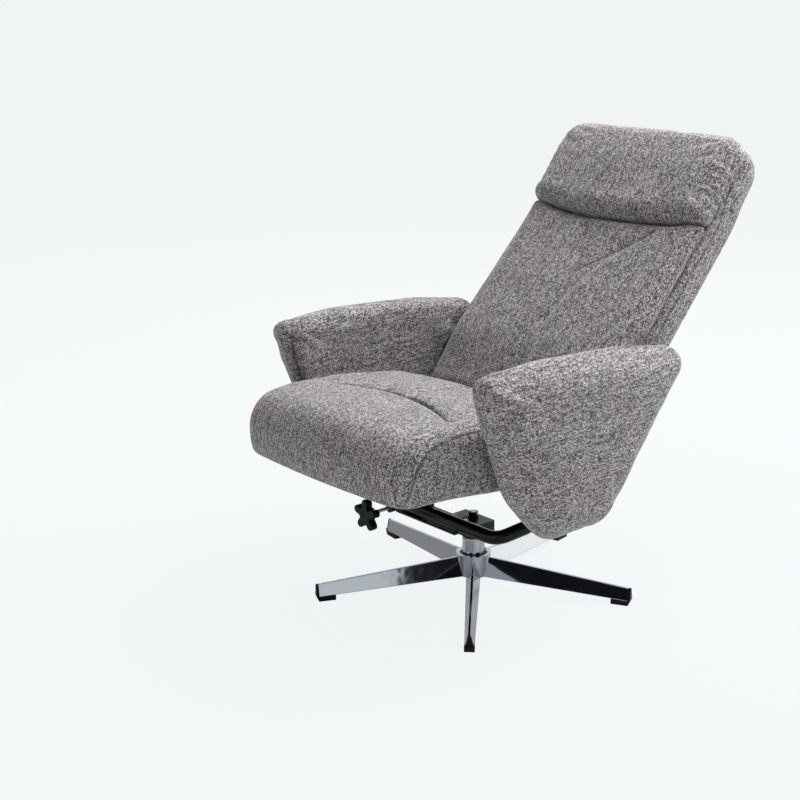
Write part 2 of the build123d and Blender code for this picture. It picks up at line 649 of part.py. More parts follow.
def brake_lever_top():
    """Row-frame y and z of the pin at the lever's upper end."""
    behind = GLIDE_PER_RADIAN * radians(MID_SWING) / BRAKE_LEVER_LENGTH
    lean = SEAT_TILT - degrees(behind)
    return (BRAKE_SHAFT_Y + BRAKE_LEVER_LENGTH * sin(radians(lean)),
            BRAKE_SHAFT_Z + BRAKE_LEVER_LENGTH * cos(radians(lean)))


def brake_shaft():
    """Steel shaft that the knob clamps."""
    return cross_rod(BRAKE_SHAFT_LEFT, BRAKE_SHAFT_RIGHT, BRAKE_SHAFT_Y, BRAKE_SHAFT_Z, BRAKE_SHAFT_RADIUS)


def brake_lever():
    """Flat lever on the shaft."""
    low = BRAKE_LEVER_X - BRAKE_LEVER_THICKNESS / 2
    high = BRAKE_LEVER_X + BRAKE_LEVER_THICKNESS / 2
    foot = Vector(BRAKE_SHAFT_Y, BRAKE_SHAFT_Z)
    top = Vector(*brake_lever_top())
    along = (top - foot).normalized() * BRAKE_LEVER_WIDTH / 2
    across = Vector(-along.Y, along.X)
    corners = [foot - along - across, top + along - across, top + along + across, foot - along + across]
    points = [(c.X, c.Y) for c in reversed(corners)]
    lever = side_panel(low, high, points, BRAKE_LEVER_WIDTH / 2 - 0.5)
    lever -= cross_rod(low, high, BRAKE_SHAFT_Y, BRAKE_SHAFT_Z, BRAKE_SHAFT_RADIUS)
    return lever - cross_rod(low, high, top.X, top.Y, BRAKE_PIN_RADIUS)


def brake_pin_span():
    """How far the lever's pin reaches on each side of it."""
    reach = BRAKE_LEVER_THICKNESS / 2 + STEEL_GAP + PLATE_THICKNESS + 1
    return (BRAKE_LEVER_X - reach, BRAKE_LEVER_X + reach)


def brake_pin():
    """Pin at the lever's upper end."""
    return cross_rod(*brake_pin_span(), *brake_lever_top(), BRAKE_PIN_RADIUS)


def brake_fork():
    """Pair of slotted plates under the seat frame that the lever's pin works in."""
    y, z = brake_lever_top()
    tilt = radians(SEAT_TILT)
    p = y * cos(tilt) - (z - SEAT_DATUM_Z) * sin(tilt)
    q = y * sin(tilt) + (z - SEAT_DATUM_Z) * cos(tilt)
    half_slot = BRAKE_PIN_RADIUS + LINK_SLOT_CLEARANCE
    plates = Part()
    for side in (-1, 1):
        inner = BRAKE_LEVER_X + side * (BRAKE_LEVER_THICKNESS / 2 + STEEL_GAP)
        outer = inner + side * PLATE_THICKNESS
        low, high = min(inner, outer), max(inner, outer)
        plate = block((low, high), (p - 16, p + 16), (q - 14, 0))
        plate -= block((low, high), (p - half_slot, p + half_slot), (q - 7, q + 9))
        plates += plate
    span = (BRAKE_LEVER_X - 24, BRAKE_LEVER_X + 24)
    foot = block(span, (p - 22, p + 22), (-PLATE_THICKNESS, 0))
    foot -= block((BRAKE_LEVER_X - 6, BRAKE_LEVER_X + 6), (p - 23, p + 23), (-PLATE_THICKNESS, 0))
    return SEAT_PLACE * (plates + foot)


def clamp_screw():
    """Bright threaded rod from the knob through the bush."""
    end = KNOB_REAR - KNOB_THICKNESS * 0.6
    return rod((KNOB_X, end, BRAKE_SHAFT_Z), (KNOB_X, SCREW_REAR - RUNNING_CLEARANCE, BRAKE_SHAFT_Z),
               SCREW_RADIUS)


def star_knob():
    """Five-lobed knob with a hub behind it."""
    plan = Circle(KNOB_HUB_RADIUS)
    reach = KNOB_REACH - KNOB_LOBE_RADIUS
    for lobe in range(KNOB_LOBES):
        arm = Pos(0, reach / 2) * Rectangle(2 * KNOB_LOBE_RADIUS, reach)
        plan += Rot(0, 0, 360.0 / KNOB_LOBES * lobe) * (arm + Pos(0, reach) * Circle(KNOB_LOBE_RADIUS))
    plan = fillet(plan.vertices().filter_by(lambda v: Vector(v.X, v.Y).length < reach * 0.95), 4.0)
    front = Plane(origin=(KNOB_X, KNOB_REAR, BRAKE_SHAFT_Z), x_dir=(1, 0, 0), z_dir=(0, -1, 0))
    body = extrude(front * plan, amount=KNOB_THICKNESS)
    rims = body.edges().filter_by(lambda e: abs((e @ 0.5).Y - (e @ 0).Y) < 1e-6)
    body = fillet(rims, KNOB_EDGE)
    hub = rod((KNOB_X, KNOB_REAR, BRAKE_SHAFT_Z), (KNOB_X, KNOB_REAR + KNOB_HUB_LENGTH, BRAKE_SHAFT_Z),
              KNOB_HUB_RADIUS)
    return body + hub - clamp_screw()


# --- seat ---
def across_crown(distance, half):
    """How much fuller a cushion is than at its side, from 1 at the middle to 0 at the side."""
    return max(0.0, 1 - (distance / half) ** 2)


def seat_profile(distance):
    """Side outline of the cushion at a distance from the middle, in the seat's frame."""
    corner = 1 - edge_fullness(distance, SEAT_HALF_WIDTH, SEAT_CORNER)
    side = 1 - edge_fullness(distance, SEAT_HALF_WIDTH, SEAT_EDGE)
    crown = SEAT_CROWN * across_crown(distance, SEAT_HALF_WIDTH)
    bow = SEAT_FRONT_BOW * across_crown(distance, SEAT_HALF_WIDTH)
    front = SEAT_FRONT_P - bow + SEAT_CORNER_DRAW * corner
    rear = SEAT_REAR_P - SEAT_SIDE_DRAW * side
    top = SEAT_EDGE_HEIGHT + crown - SEAT_SIDE_DRAW * side
    low = SEAT_SIDE_DRAW * 0.8 * side
    rear_top = SEAT_REAR_HEIGHT + crown / 2 - SEAT_SIDE_DRAW * side
    points = ((front + 18, low - SEAT_FRONT_DROOP), (SEAT_FRONT_P + SEAT_UNDER_RUN, low - 2),
              (rear, low - 2), (rear, rear_top), (SEAT_REAR_P - SEAT_REAR_RUN, top - 4),
              (SEAT_FRONT_P + SEAT_TOP_RUN, top), (SEAT_FRONT_P + SEAT_ROLL_RUN, top - 11),
              (front + 3, top - 34))
    return points, (22, 200, 12, 30, 180, 500, 140, 80 - 26 * corner)


def groove(points, radius):
    """Round-bottomed sewn channel along straight runs."""
    runs = [rod(points[i], points[i + 1], radius) for i in range(len(points) - 1)]
    solid = runs[0]
    for run in runs[1:]:
        solid += run
    for point in points[1:-1]:
        solid += Pos(*point) * Sphere(radius)
    return solid


def seat_cushion():
    """Seat cushion: crowned top, bowed front roll, a curved cross channel and panel seams."""
    half = SEAT_HALF_WIDTH
    body = loft_across(half, SEAT_CORNER, seat_profile)
    top = SEAT_EDGE_HEIGHT + SEAT_CROWN
    channel = Pos(0, CHANNEL_MIDDLE_P - CHANNEL_RADIUS, top - 1) * Torus(CHANNEL_RADIUS, CHANNEL_DEPTH)
    body -= channel & block((-half + SEAT_EDGE, half - SEAT_EDGE), (SEAT_FRAME_FRONT_P, 0), (0, 2 * top))
    rear = SEAT_REAR_P + 4
    middle = ((0, CHANNEL_MIDDLE_P, top - 1), (0, -20, top - 4), (0, rear, top - 42))
    body -= groove(middle, CHANNEL_DEPTH * 0.7)
    for side in (-1, 1):
        x = side * PANEL_HALF_WIDTH
        seam = ((x, CHANNEL_MIDDLE_P - 44, top - 8), (x, -20, top - 9), (x, rear, top - 45))
        body -= groove(seam, CHANNEL_DEPTH * 0.5)
    body -= block((-SEAT_FRAME_HALF_WIDTH, SEAT_FRAME_HALF_WIDTH), (SEAT_FRAME_FRONT_P, SEAT_FRAME_REAR_P),
                  (-10, SEAT_RECESS_DEPTH))
    cushion = SEAT_PLACE * body
    for y, z in rail_screw_points():
        for side in (-1, 1):
            cushion -= cross_rod(side * SEAT_FRAME_HALF_WIDTH, side * RAIL_INNER, y, z, BOLT_RADIUS)
    return cushion


def seat_frame():
    """Plywood frame in the cushion's recess."""
    half = SEAT_FRAME_HALF_WIDTH
    rail = SEAT_FRAME_RAIL
    frame = block((-half, half), (SEAT_FRAME_FRONT_P, SEAT_FRAME_REAR_P), (0, SEAT_FRAME_THICKNESS))
    frame -= block((-half + rail, half - rail), (SEAT_FRAME_FRONT_P + rail, SEAT_FRAME_REAR_P - rail),
                   (0, SEAT_FRAME_THICKNESS))
    frame = SEAT_PLACE * frame
    for y, z in rail_screw_points():
        for side in (-1, 1):
            frame -= cross_rod(side * (half - rail / 2), side * half, y, z, BOLT_RADIUS)
    return frame


def seat_straps():
    """Elastic straps across the seat frame."""
    half = SEAT_FRAME_HALF_WIDTH
    span = SEAT_FRAME_REAR_P - SEAT_FRAME_FRONT_P
    pitch = span / SEAT_STRAPS
    straps = []
    for index in range(SEAT_STRAPS):
        middle = SEAT_FRAME_FRONT_P + pitch * (index + 0.5)
        straps.append(SEAT_PLACE * block((-half + 5, half - 5), (middle - STRAP_WIDTH / 2, middle
                                                                 + STRAP_WIDTH / 2),
                                         (SEAT_FRAME_THICKNESS, SEAT_FRAME_THICKNESS + STRAP_THICKNESS)))
    return straps


def seat_dust_cover():
    """Thin black cloth under the seat frame."""
    cloth = block((-SEAT_FRAME_HALF_WIDTH, SEAT_FRAME_HALF_WIDTH), (SEAT_FRAME_FRONT_P, SEAT_FRAME_REAR_P),
                  (-DUST_COVER, 0))
    cloth = SEAT_PLACE * cloth
    return cloth - brake_fork() - SEAT_PLACE * fork_gap()


def fork_gap():
    """Cut in the cloth round the fork's two feet."""
    y, z = brake_lever_top()
    tilt = radians(SEAT_TILT)
    p = y * cos(tilt) - (z - SEAT_DATUM_Z) * sin(tilt)
    return block((BRAKE_LEVER_X - 24, BRAKE_LEVER_X + 24), (p - 22, p + 22), (-DUST_COVER, 0))


def seat_bumpers():
    """Two rubber bumpers under the front rail."""
    bumpers = []
    for side in (-1, 1):
        base = Pos(side * BUMPER_X, BUMPER_P, -DUST_COVER - BUMPER_HEIGHT / 2)
        body = Cylinder(BUMPER_RADIUS, BUMPER_HEIGHT)
        body = fillet(body.edges().group_by(Axis.Z)[0], BUMPER_RADIUS * 0.6)
        bumpers.append(SEAT_PLACE * (base * body))
    return bumpers


def rail_screw_points():
    """Row-frame y and z of the screws that hold a rail to the seat frame."""
    return [seat_point(p, SEAT_FRAME_THICKNESS / 2) for p in RAIL_SCREWS_P]


def link_in_seat():
    """Seat-frame p and q of the pivot that joins back and seat."""
    tilt = radians(SEAT_TILT)
    p = LINK_Y * cos(tilt) - (LINK_Z - SEAT_DATUM_Z) * sin(tilt)
    q = LINK_Y * sin(tilt) + (LINK_Z - SEAT_DATUM_Z) * cos(tilt)
    return p, q


def seat_rail():
    """Steel rail on the seat's left side, with an ear that the back lever pushes."""
    p, q = link_in_seat()
    outline = ((RAIL_FRONT_P, -3), (78, -3), (p + 17, q - 14), (p + 17, q + 17), (p - 17, q + 17),
               (62, 31), (RAIL_FRONT_P, 31))
    rail = side_panel(RAIL_INNER, RAIL_OUTER, outline, 8)
    half = LINK_PIN_RADIUS + LINK_SLOT_CLEARANCE
    rail -= block((RAIL_INNER, RAIL_OUTER), (p - half, p + half), (q - LINK_SLOT_HEIGHT / 2,
                                                                  q + LINK_SLOT_HEIGHT / 2))
    for at in (ROLLER_FRONT_P, ROLLER_REAR_P):
        rail -= Plane(origin=(RAIL_INNER, at, ROLLER_Q), z_dir=(1, 0, 0)) * Pos(0, 0, PLATE_THICKNESS / 2) \
            * Cylinder(ROLLER_PIN_RADIUS, PLATE_THICKNESS)
    rail = SEAT_PLACE * rail
    for y, z in rail_screw_points():
        rail -= cross_rod(RAIL_INNER, RAIL_OUTER, y, z, BOLT_RADIUS)
    return rail


def rail_screws():
    """Screws that hold the left rail to the seat frame."""
    screws = []
    inner = SEAT_FRAME_HALF_WIDTH - SEAT_FRAME_RAIL / 2
    for y, z in rail_screw_points():
        head = cross_rod(RAIL_OUTER, RAIL_OUTER + 2.5, y, z, BOLT_HEAD_RADIUS)
        screws.append(head + cross_rod(inner, RAIL_OUTER, y, z, BOLT_RADIUS))
    return screws


def glide_rollers():
    """Two rollers that carry the seat in the left side plate."""
    rollers = []
    for p in (ROLLER_FRONT_P, ROLLER_REAR_P):
        y, z = seat_point(p, ROLLER_Q)
        body = cross_rod(SIDE_PLATE_INNER - 0.6, ARM_INNER - 0.5, y, z, ROLLER_RADIUS)
        rollers.append(body - cross_rod(SIDE_PLATE_INNER - 1, ARM_INNER, y, z, ROLLER_PIN_RADIUS))
    return rollers


def roller_pins():
    """Pins that hold the rollers on the left rail."""
    pins = []
    for p in (ROLLER_FRONT_P, ROLLER_REAR_P):
        y, z = seat_point(p, ROLLER_Q)
        pins.append(cross_rod(RAIL_INNER, ARM_INNER - 0.5, y, z, ROLLER_PIN_RADIUS))
    return pins


# --- back ---
def corner_drop(distance):
    """How far the top corners of the back are rounded down at a distance from the middle."""
    return BACK_CORNER_DROP * (1 - edge_fullness(distance, BACK_HALF_WIDTH, 1.2 * BACK_EDGE))


def pad_fullness(distance):
    """Share of the pad's full thickness left at a distance from the middle."""
    edge = edge_fullness(distance, BACK_HALF_WIDTH, BACK_EDGE)
    return PAD_EDGE_SHARE + (1 - PAD_EDGE_SHARE) * edge


def seam_height(distance):
    """Height up the back of the curved seam under the headrest."""
    return HEAD_SEAM_U - HEAD_SEAM_SMILE * (1 - (distance / BACK_HALF_WIDTH) ** 2)


def pad_depth(distance, front):
    """Depth coordinate of a pad's face, from its depth at mid-width."""
    crown = BACK_CROWN * across_crown(distance, BACK_HALF_WIDTH)
    return BACK_SEAM_W + (front - crown - BACK_SEAM_W) * pad_fullness(distance)


def back_pad_profile(distance):
    """Side outline of the lower front pad, in the back's frame."""
    top = seam_height(distance) - 1
    points = ((BACK_SEAM_W, BACK_BOTTOM_U), (BACK_SEAM_W, top), (pad_depth(distance, -58), top),
              (pad_depth(distance, -64), top - 100), (pad_depth(distance, -86), 100),
              (pad_depth(distance, -64), BACK_BOTTOM_U - 4))
    full = pad_fullness(distance)
    return points, [3, 3, 20 * full, 200, 260, 26 * full]


def headrest_profile(distance):
    """Side outline of the headrest pad, in the back's frame."""
    low = seam_height(distance)
    top = BACK_TOP_U - corner_drop(distance)
    fullest = top - HEAD_FULLEST_SHARE * (top - low)
    points = ((BACK_SEAM_W, low), (BACK_SEAM_W, top), (pad_depth(distance, -84), top - 2),
              (pad_depth(distance, -90), fullest), (pad_depth(distance, -82), low))
    full = pad_fullness(distance)
    return points, [3, 2, 48 * full, HEAD_FACE_SHARE * (top - low), 24 * full]


def shell_profile(distance):
    """Side outline of the rear cover, in the back's frame."""
    top = BACK_TOP_U - corner_drop(distance)
    inset = BACK_SIDE_CROWN * 4 * (1 - edge_fullness(distance, BACK_HALF_WIDTH, BACK_EDGE))
    rear = BACK_REAR_W - inset
    points = ((BACK_SEAM_W, BACK_BOTTOM_U), (rear - 4, BACK_BOTTOM_U - 4 + inset), (rear, BACK_REAR_BEND_U),
              (BACK_TOP_REAR_W - inset, top), (BACK_SEAM_W, top))
    return points, [4, 46 - inset, 220, 46 - inset, 2]


def lever_bolt_points():
    """Back-frame w and u of the bolts that hold a lever to the board."""
    return [(LEVER_BOLT_W, u) for u in LEVER_BOLTS_U]


def back_bolt_bars(x_from, x_to, radius):
    """The bars of the lever bolts between two distances, on both sides, in the back's frame."""
    bars = []
    for w, u in lever_bolt_points():
        bars.append(cross_rod(x_from, x_to, w, u, radius))
        bars.append(cross_rod(-x_from, -x_to, w, u, radius))
    return bars


def back_shell():
    """Rear and side cover of the back, hollow for its board."""
    body = loft_across(BACK_HALF_WIDTH, BACK_EDGE, shell_profile)
    half = BACK_BOARD_HALF_WIDTH
    depth = (BACK_BOARD_FRONT_W - STRAP_THICKNESS, BACK_BOARD_FRONT_W + BACK_BOARD_THICKNESS)
    body -= block((-half, half), depth, (BACK_BOARD_BOTTOM_U, BACK_BOARD_TOP_U))
    for bar in back_bolt_bars(half, LEVER_INNER, BOLT_RADIUS):
        body -= bar
    return BACK_PLACE * body


def back_pad():
    """Lower front pad of the back, with its lumbar swell."""
    return BACK_PLACE * loft_across(BACK_HALF_WIDTH, BACK_EDGE, back_pad_profile)


def headrest_pad():
    """Headrest pad with a curved lower edge."""
    return BACK_PLACE * loft_across(BACK_HALF_WIDTH, BACK_EDGE, headrest_profile)


def back_board():
    """Plywood frame inside the back."""
    half = BACK_BOARD_HALF_WIDTH
    rail = BACK_BOARD_RAIL
    depth = (BACK_BOARD_FRONT_W, BACK_BOARD_FRONT_W + BACK_BOARD_THICKNESS)
    board = block((-half, half), depth, (BACK_BOARD_BOTTOM_U, BACK_BOARD_TOP_U))
    board -= block((-half + rail, half - rail), depth, (BACK_BOARD_BOTTOM_U + rail, BACK_BOARD_TOP_U - rail))
    for bar in back_bolt_bars(half - rail / 2, half, BOLT_RADIUS):
        board -= bar
    return BACK_PLACE * board


def back_straps():
    """Elastic straps across the back frame."""
    half = BACK_BOARD_HALF_WIDTH
    span = BACK_BOARD_TOP_U - BACK_BOARD_BOTTOM_U
    pitch = span / BACK_STRAPS
    straps = []
    for index in range(BACK_STRAPS):
        middle = BACK_BOARD_BOTTOM_U + pitch * (index + 0.5)
        straps.append(BACK_PLACE * block((-half + 5, half - 5),
                                         (BACK_BOARD_FRONT_W - STRAP_THICKNESS, BACK_BOARD_FRONT_W),
                                         (middle - STRAP_WIDTH / 2, middle + STRAP_WIDTH / 2)))
    return straps


def hinge_in_back():
    """Back-frame w and u of the hinge."""
    tilt = radians(BACK_TILT)
    dy, dz = HINGE_Y - LINK_Y, HINGE_Z - LINK_Z
    return dy * cos(tilt) - dz * sin(tilt), dy * sin(tilt) + dz * cos(tilt)


def back_lever():
    """Steel lever on the back's left side, from the link pin past the hinge to the board."""
    lever = side_panel(LEVER_INNER, LEVER_OUTER, tuple(reversed(LEVER_OUTLINE)), LEVER_CORNER)
    for bar in back_bolt_bars(LEVER_INNER, LEVER_OUTER, BOLT_RADIUS)[::2]:
        lever -= bar
    lever -= cross_rod(LEVER_INNER, LEVER_OUTER, *hinge_in_back(), HINGE_PIN_RADIUS)
    lever -= cross_rod(LEVER_INNER, LEVER_OUTER, 0, 0, LINK_PIN_RADIUS)
    return BACK_PLACE * lever


def lever_bolts():
    """Bolts and spacers that hold the left lever to the board."""
    bolts = []
    inner = BACK_BOARD_HALF_WIDTH - BACK_BOARD_RAIL / 2
    for w, u in lever_bolt_points():
        shank = cross_rod(inner, LEVER_OUTER, w, u, BOLT_RADIUS)
        head = cross_rod(LEVER_OUTER, LEVER_OUTER + BOLT_HEAD_HEIGHT, w, u, BOLT_HEAD_RADIUS)
        spacer = cross_rod(BACK_HALF_WIDTH, LEVER_INNER, w, u, 2 * BOLT_RADIUS)
        bolts.append(BACK_PLACE * (shank + head + spacer))
    return bolts


def hinge_pin():
    """Pin of the left lever that turns in the side plate's bush."""
    return cross_rod(LEVER_INNER, ARM_INNER - 0.5, HINGE_Y, HINGE_Z, HINGE_PIN_RADIUS)


def link_pin():
    """Pin at the foot of the left lever that works in the seat rail's slot."""
    return cross_rod(RAIL_INNER, LEVER_OUTER, LINK_Y, LINK_Z, LINK_PIN_RADIUS)


def write(name, shape):
    """Write one piece, or a group of like pieces, to its file."""
    solids = shape if isinstance(shape, list) else [shape]
    parts = [solid for item in solids for solid in item.solids()]
    export_step(parts[0] if len(parts) == 1 else Compound(parts), f"parts/{name}.step")


def write_pair(name, shape):
    """Write a left piece and its mirrored right twin."""
    solids = shape if isinstance(shape, list) else [shape]
    write(f"{name}_left", solids)
    write(f"{name}_right", [mirrored(solid) for solid in solids])


def main():
    os.makedirs("parts", exist_ok=True)
    write("star_base", star_base())
    write("foot_caps", foot_caps())
    write("hub_ring", hub_ring())
    write("base_column", base_column())
    write("lower_bush", lower_bush())
    write("upper_bush", upper_bush())
    write("thrust_washer", thrust_washer())
    write("swivel_spindle", swivel_spindle())
    write("spindle_clip", spindle_clip())
    write("swivel_collar", swivel_collar())
    write("swivel_bracket", swivel_bracket())
    write("spindle_nut", spindle_nut())
    write("chassis_tube", chassis_tube())
    write("tube_saddle", tube_saddle())
    write_pair("side_plate", side_plate())
    write_pair("hinge_bush", hinge_bush())
    write_pair("arm_board", arm_board())
    write_pair("arm_pad", arm_pad())
    write_pair("arm_bolts", arm_bolts())
    write("knob_bush", knob_bush())
    write("shaft_clamp", shaft_clamp())
    write("brake_pad", brake_pad())
    write("shaft_bearing", shaft_bearing())
    write("brake_shaft", brake_shaft())
    write("brake_lever", brake_lever())
    write("brake_pin", brake_pin())
    write("clamp_screw", clamp_screw())
    write("star_knob", star_knob())
    write("seat_cushion", seat_cushion())
    write("seat_frame", seat_frame())
    write("seat_straps", seat_straps())
    write("seat_dust_cover", seat_dust_cover())
    write("seat_bumpers", seat_bumpers())
    write("brake_fork", brake_fork())
    write_pair("seat_rail", seat_rail())
    write_pair("rail_screws", rail_screws())
    write_pair("glide_rollers", glide_rollers())
    write_pair("roller_pins", roller_pins())
    write("back_shell", back_shell())
    write("back_pad", back_pad())
    write("headrest_pad", headrest_pad())
    write("back_board", back_board())
    write("back_straps", back_straps())
    write_pair("back_lever", back_lever())
    write_pair("lever_bolts", lever_bolts())
    write_pair("hinge_pin", hinge_pin())
    write_pair("link_pin", link_pin())


main()
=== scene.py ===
"""Star base swivel recliner: upholstery, finishes and studio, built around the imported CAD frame.

Lengths in the settings are metres, and the seam lines are written in millimetres in each cushion's own frame.
The cushions start from their CAD solids, are filled by a cloth simulation and are then given their seams.
"""

import json
import math

import bmesh
import bpy
import numpy as np
from bpy.props import (
    FloatProperty,
    FloatVectorProperty,
    IntProperty,
    PointerProperty,
    StringProperty,
)
from mathutils import Matrix, Vector
from mathutils.bvhtree import BVHTree

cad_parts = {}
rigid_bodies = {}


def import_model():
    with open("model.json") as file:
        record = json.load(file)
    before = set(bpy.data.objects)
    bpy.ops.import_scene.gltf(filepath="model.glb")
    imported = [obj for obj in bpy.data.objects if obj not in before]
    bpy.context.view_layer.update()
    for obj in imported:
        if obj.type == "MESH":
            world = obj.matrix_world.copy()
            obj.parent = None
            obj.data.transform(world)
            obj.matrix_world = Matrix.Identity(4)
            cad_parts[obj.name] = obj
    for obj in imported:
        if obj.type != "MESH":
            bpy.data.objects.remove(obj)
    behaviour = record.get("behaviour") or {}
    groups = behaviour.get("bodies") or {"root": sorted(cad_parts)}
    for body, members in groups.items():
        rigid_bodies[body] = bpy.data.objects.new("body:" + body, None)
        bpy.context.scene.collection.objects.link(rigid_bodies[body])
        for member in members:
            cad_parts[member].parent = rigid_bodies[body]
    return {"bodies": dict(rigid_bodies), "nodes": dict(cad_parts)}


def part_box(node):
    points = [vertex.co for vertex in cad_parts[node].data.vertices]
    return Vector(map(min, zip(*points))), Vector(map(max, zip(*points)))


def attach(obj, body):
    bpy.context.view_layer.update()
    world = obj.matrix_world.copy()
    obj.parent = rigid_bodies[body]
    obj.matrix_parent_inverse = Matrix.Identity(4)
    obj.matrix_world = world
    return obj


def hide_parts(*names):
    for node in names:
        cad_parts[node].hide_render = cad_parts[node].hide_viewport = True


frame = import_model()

bl_info = {
    "name": "Star base swivel recliner",
    "version": (1, 0, 0),
    "blender": (4, 5, 0),
    "location": "View3D > Sidebar > Recliner",
    "description": "Dresses the packed recliner frame with padded upholstery, finishes and a plain studio",
    "category": "Object",
}

MM = 0.001
# how far the seat and the back lean, and the cushions' own frames in the chair's
SEAT_TURN = math.radians(-7.0)
BACK_TURN = math.radians(-41.5)
SEAT_FRAME = Matrix.Translation((0, 0, 0.310)) @ Matrix.Rotation(SEAT_TURN, 4, "X")
BACK_FRAME = Matrix.Translation((0, 0.165, 0.398)) @ Matrix.Rotation(BACK_TURN, 4, "X")
ARM_FRAME = Matrix.Identity(4)

# The seat's cross channel is an arc: its place at the middle, its radius, its half length and its step, in mm.
CHANNEL_MIDDLE = -219
CHANNEL_RADIUS = 425
CHANNEL_REACH = 192
CHANNEL_STEP = 16
CHANNEL = [
    (x, CHANNEL_MIDDLE - (CHANNEL_RADIUS - math.sqrt(CHANNEL_RADIUS**2 - x * x)))
    for x in range(-CHANNEL_REACH, CHANNEL_REACH + 1, CHANNEL_STEP)
]

# Seams. Each is (its kind, the two axes it is drawn in, the axis it is seen along, the side seen, its points in mm).
SEAT_SEAMS = [
    ("channel", "xy", "z", 1, CHANNEL),
    ("faint", "xy", "z", 1, [(192, -265), (206, -232), (208, -120), (208, 40)]),
    ("faint", "xy", "z", 1, [(-192, -265), (-206, -232), (-208, -120), (-208, 40)]),
    ("panel", "xy", "z", 1, [(28, -222), (24, -196), (16, -170), (9, -153), (-4, -122)]),
    ("faint", "xy", "z", 1, [(-4, -122), (-5, -90), (-5, 30)]),
]
BOXING = [
    (60, 112), (-60, 128), (-160, 134), (-245, 131), (-290, 126), (-318, 121), (-344, 115),
    (-369, 105), (-386, 91), (-399, 70), (-407, 45), (-411, 15),
]
SEAT_SEAMS += [("border", "yz", "x", side, BOXING) for side in (-1, 1)]

STEM = [(10, -30), (10, 303)]
RIGHT_BRANCH = [(10, 303), (66, 355), (123, 408), (154, 446)]
LEFT_BRANCH = [(10, 303), (-6, 343), (-22, 378), (-42, 436)]
BACK_PAD_SEAMS = [
    ("faint", "xz", "y", -1, STEM), ("panel", "xz", "y", -1, RIGHT_BRANCH), ("faint", "xz", "y", -1, LEFT_BRANCH),
]
GUSSET = [(-9, -40), (-12, 120), (-12, 300), (-10, 420), (-4, 487), (-14, 530), (-28, 590), (-44, 650)]
SHELL_SEAMS = [("border", "yz", "x", side, GUSSET) for side in (-1, 1)]
SHELL_SEAMS += [("panel", "xz", "y", 1, [(0, -40), (0, 700)])]
GATHERED = [(-19, 484), (-35, 541), (-49, 604), (-64, 648), (-74, 672)]
HEAD_SEAMS = [("border", "yz", "x", side, GATHERED) for side in (-1, 1)]

# the crease under the outer roll of an arm, and in mm how high and how wide the roll slopes down to it. The power
# rounds the slope, and the limit is how many times its height the slope goes on upwards.
ARM_CREASE = [(-264, 566), (-230, 569), (-164, 571), (-81, 570), (5, 562), (80, 553), (156, 543), (240, 534)]
ARM_ROLL_RISE = 30.0
ARM_ROLL_RUN = 34.0
ARM_ROLL_CURVE = 1.15
ARM_ROLL_LIMIT = 1.3
# the lowest tip of an arm: in mm the height below which it is drawn up, over how much height, and how far
ARM_TIP_TOP = 262.0
ARM_TIP_HEIGHT = 50
ARM_TIP_LIFT = 7.0
# the front edge of an arm's steel side plate, and in mm how far the inner cover is drawn over it, how far from the
# edge that begins and over which width it grows, and how thick the skin is that counts as the inner cover
PLATE_EDGE = [(124, 368), (140, 410), (158, 450), (176, 500)]
PLATE_HEM = 8.8
PLATE_HEM_REACH = 34
PLATE_HEM_BLEND = 22
PLATE_HEM_SKIN = 8
ARM_BORDER = [
    (-258, 596), (-269, 575), (-268, 543), (-260, 508), (-245, 461), (-219, 400), (-186, 330),
    (-140, 268), (-84, 230), (40, 226), (90, 262),
]
ARM_SEAMS = [("crease", "yz", "x", 1, ARM_CREASE), ("border", "yz", "x", -1, ARM_BORDER)]

# What each kind of seam does to the cover: the setting that holds its depth, the share of it, the half width of its
# sharp valley (None for the one in the settings), those of its broad valley below and above the line, all in metres,
# and how much painted shade, which stands for the shadow in its valley, darkens its line.
SEAM_KINDS = {
    "channel": ("channel_depth", 1.0, 0.0050, 0.019, 0.034, 0.80),
    "panel": ("seam_depth", 1.0, None, 0.020, 0.020, 0.65),
    "faint": ("seam_depth", 0.7, None, 0.020, 0.020, 0.25),
    "border": ("seam_depth", 1.0, None, 0.016, 0.016, 0.80),
    "crease": ("seam_depth", 1.0, 0.0080, 0.022, 0.022, 0.30),
}
# half width of the dark line of painted shade along a seam or crease, and the height of the puckers beside it
SEAM_SHADE_WIDTH = 0.0021
CHANNEL_SEAM_SHADE_WIDTH = 0.0034
PUCKER_HEIGHT = 0.00030
CHANNEL_PUCKER_HEIGHT = 0.00008
# how far apart the puckers are, how far they reach, and how near the line stays even
PUCKER_SPACING = 0.017
PUCKER_REACH = 0.016
PUCKER_FREE = 0.002
# how much the spacing of the puckers wanders, in radians, and how fast, in radians per metre
PUCKER_WANDER = 1.7
PUCKER_WANDER_RATE = 61
# a seam fades in where the cover turns to the seam's side: from this much of its normal, over this much more
FACING_FROM = 0.12
FACING_BLEND = 0.25

# the gathers of the headrest, in mm: their spacing, the half width between the sewn sides, the heights they run
# between and how softly they end, how far forward they begin and how softly, and how far they reach in from the side
# and from the sewn line
GATHER_SPACING = 21
GATHER_SIDE = 258
GATHER_LOW = 500
GATHER_HIGH = 648
GATHER_END = 25
GATHER_FRONT = 22
GATHER_FRONT_BLEND = 12
GATHER_REACH = 34
GATHER_FROM_SEAM = 60
# how high the folds are, in metres, on the sitter's left and on the right
GATHER_LEFT = 0.0018
GATHER_RIGHT = 0.0006
# how much the spacing of the folds wanders, in radians, and over how many mm
GATHER_WANDER = 0.9
GATHER_WANDER_LENGTH = 13

# metres: corners nearer than this are welded, and the cloth is held this near to a seam
WELD_DISTANCE = 0.00002
HELD_WIDTH = 0.0045
# rounds of averaging that leave only the broad shape of a cover
BROAD_ROUNDS = 30


# ---------------------------------------------------------------- settings

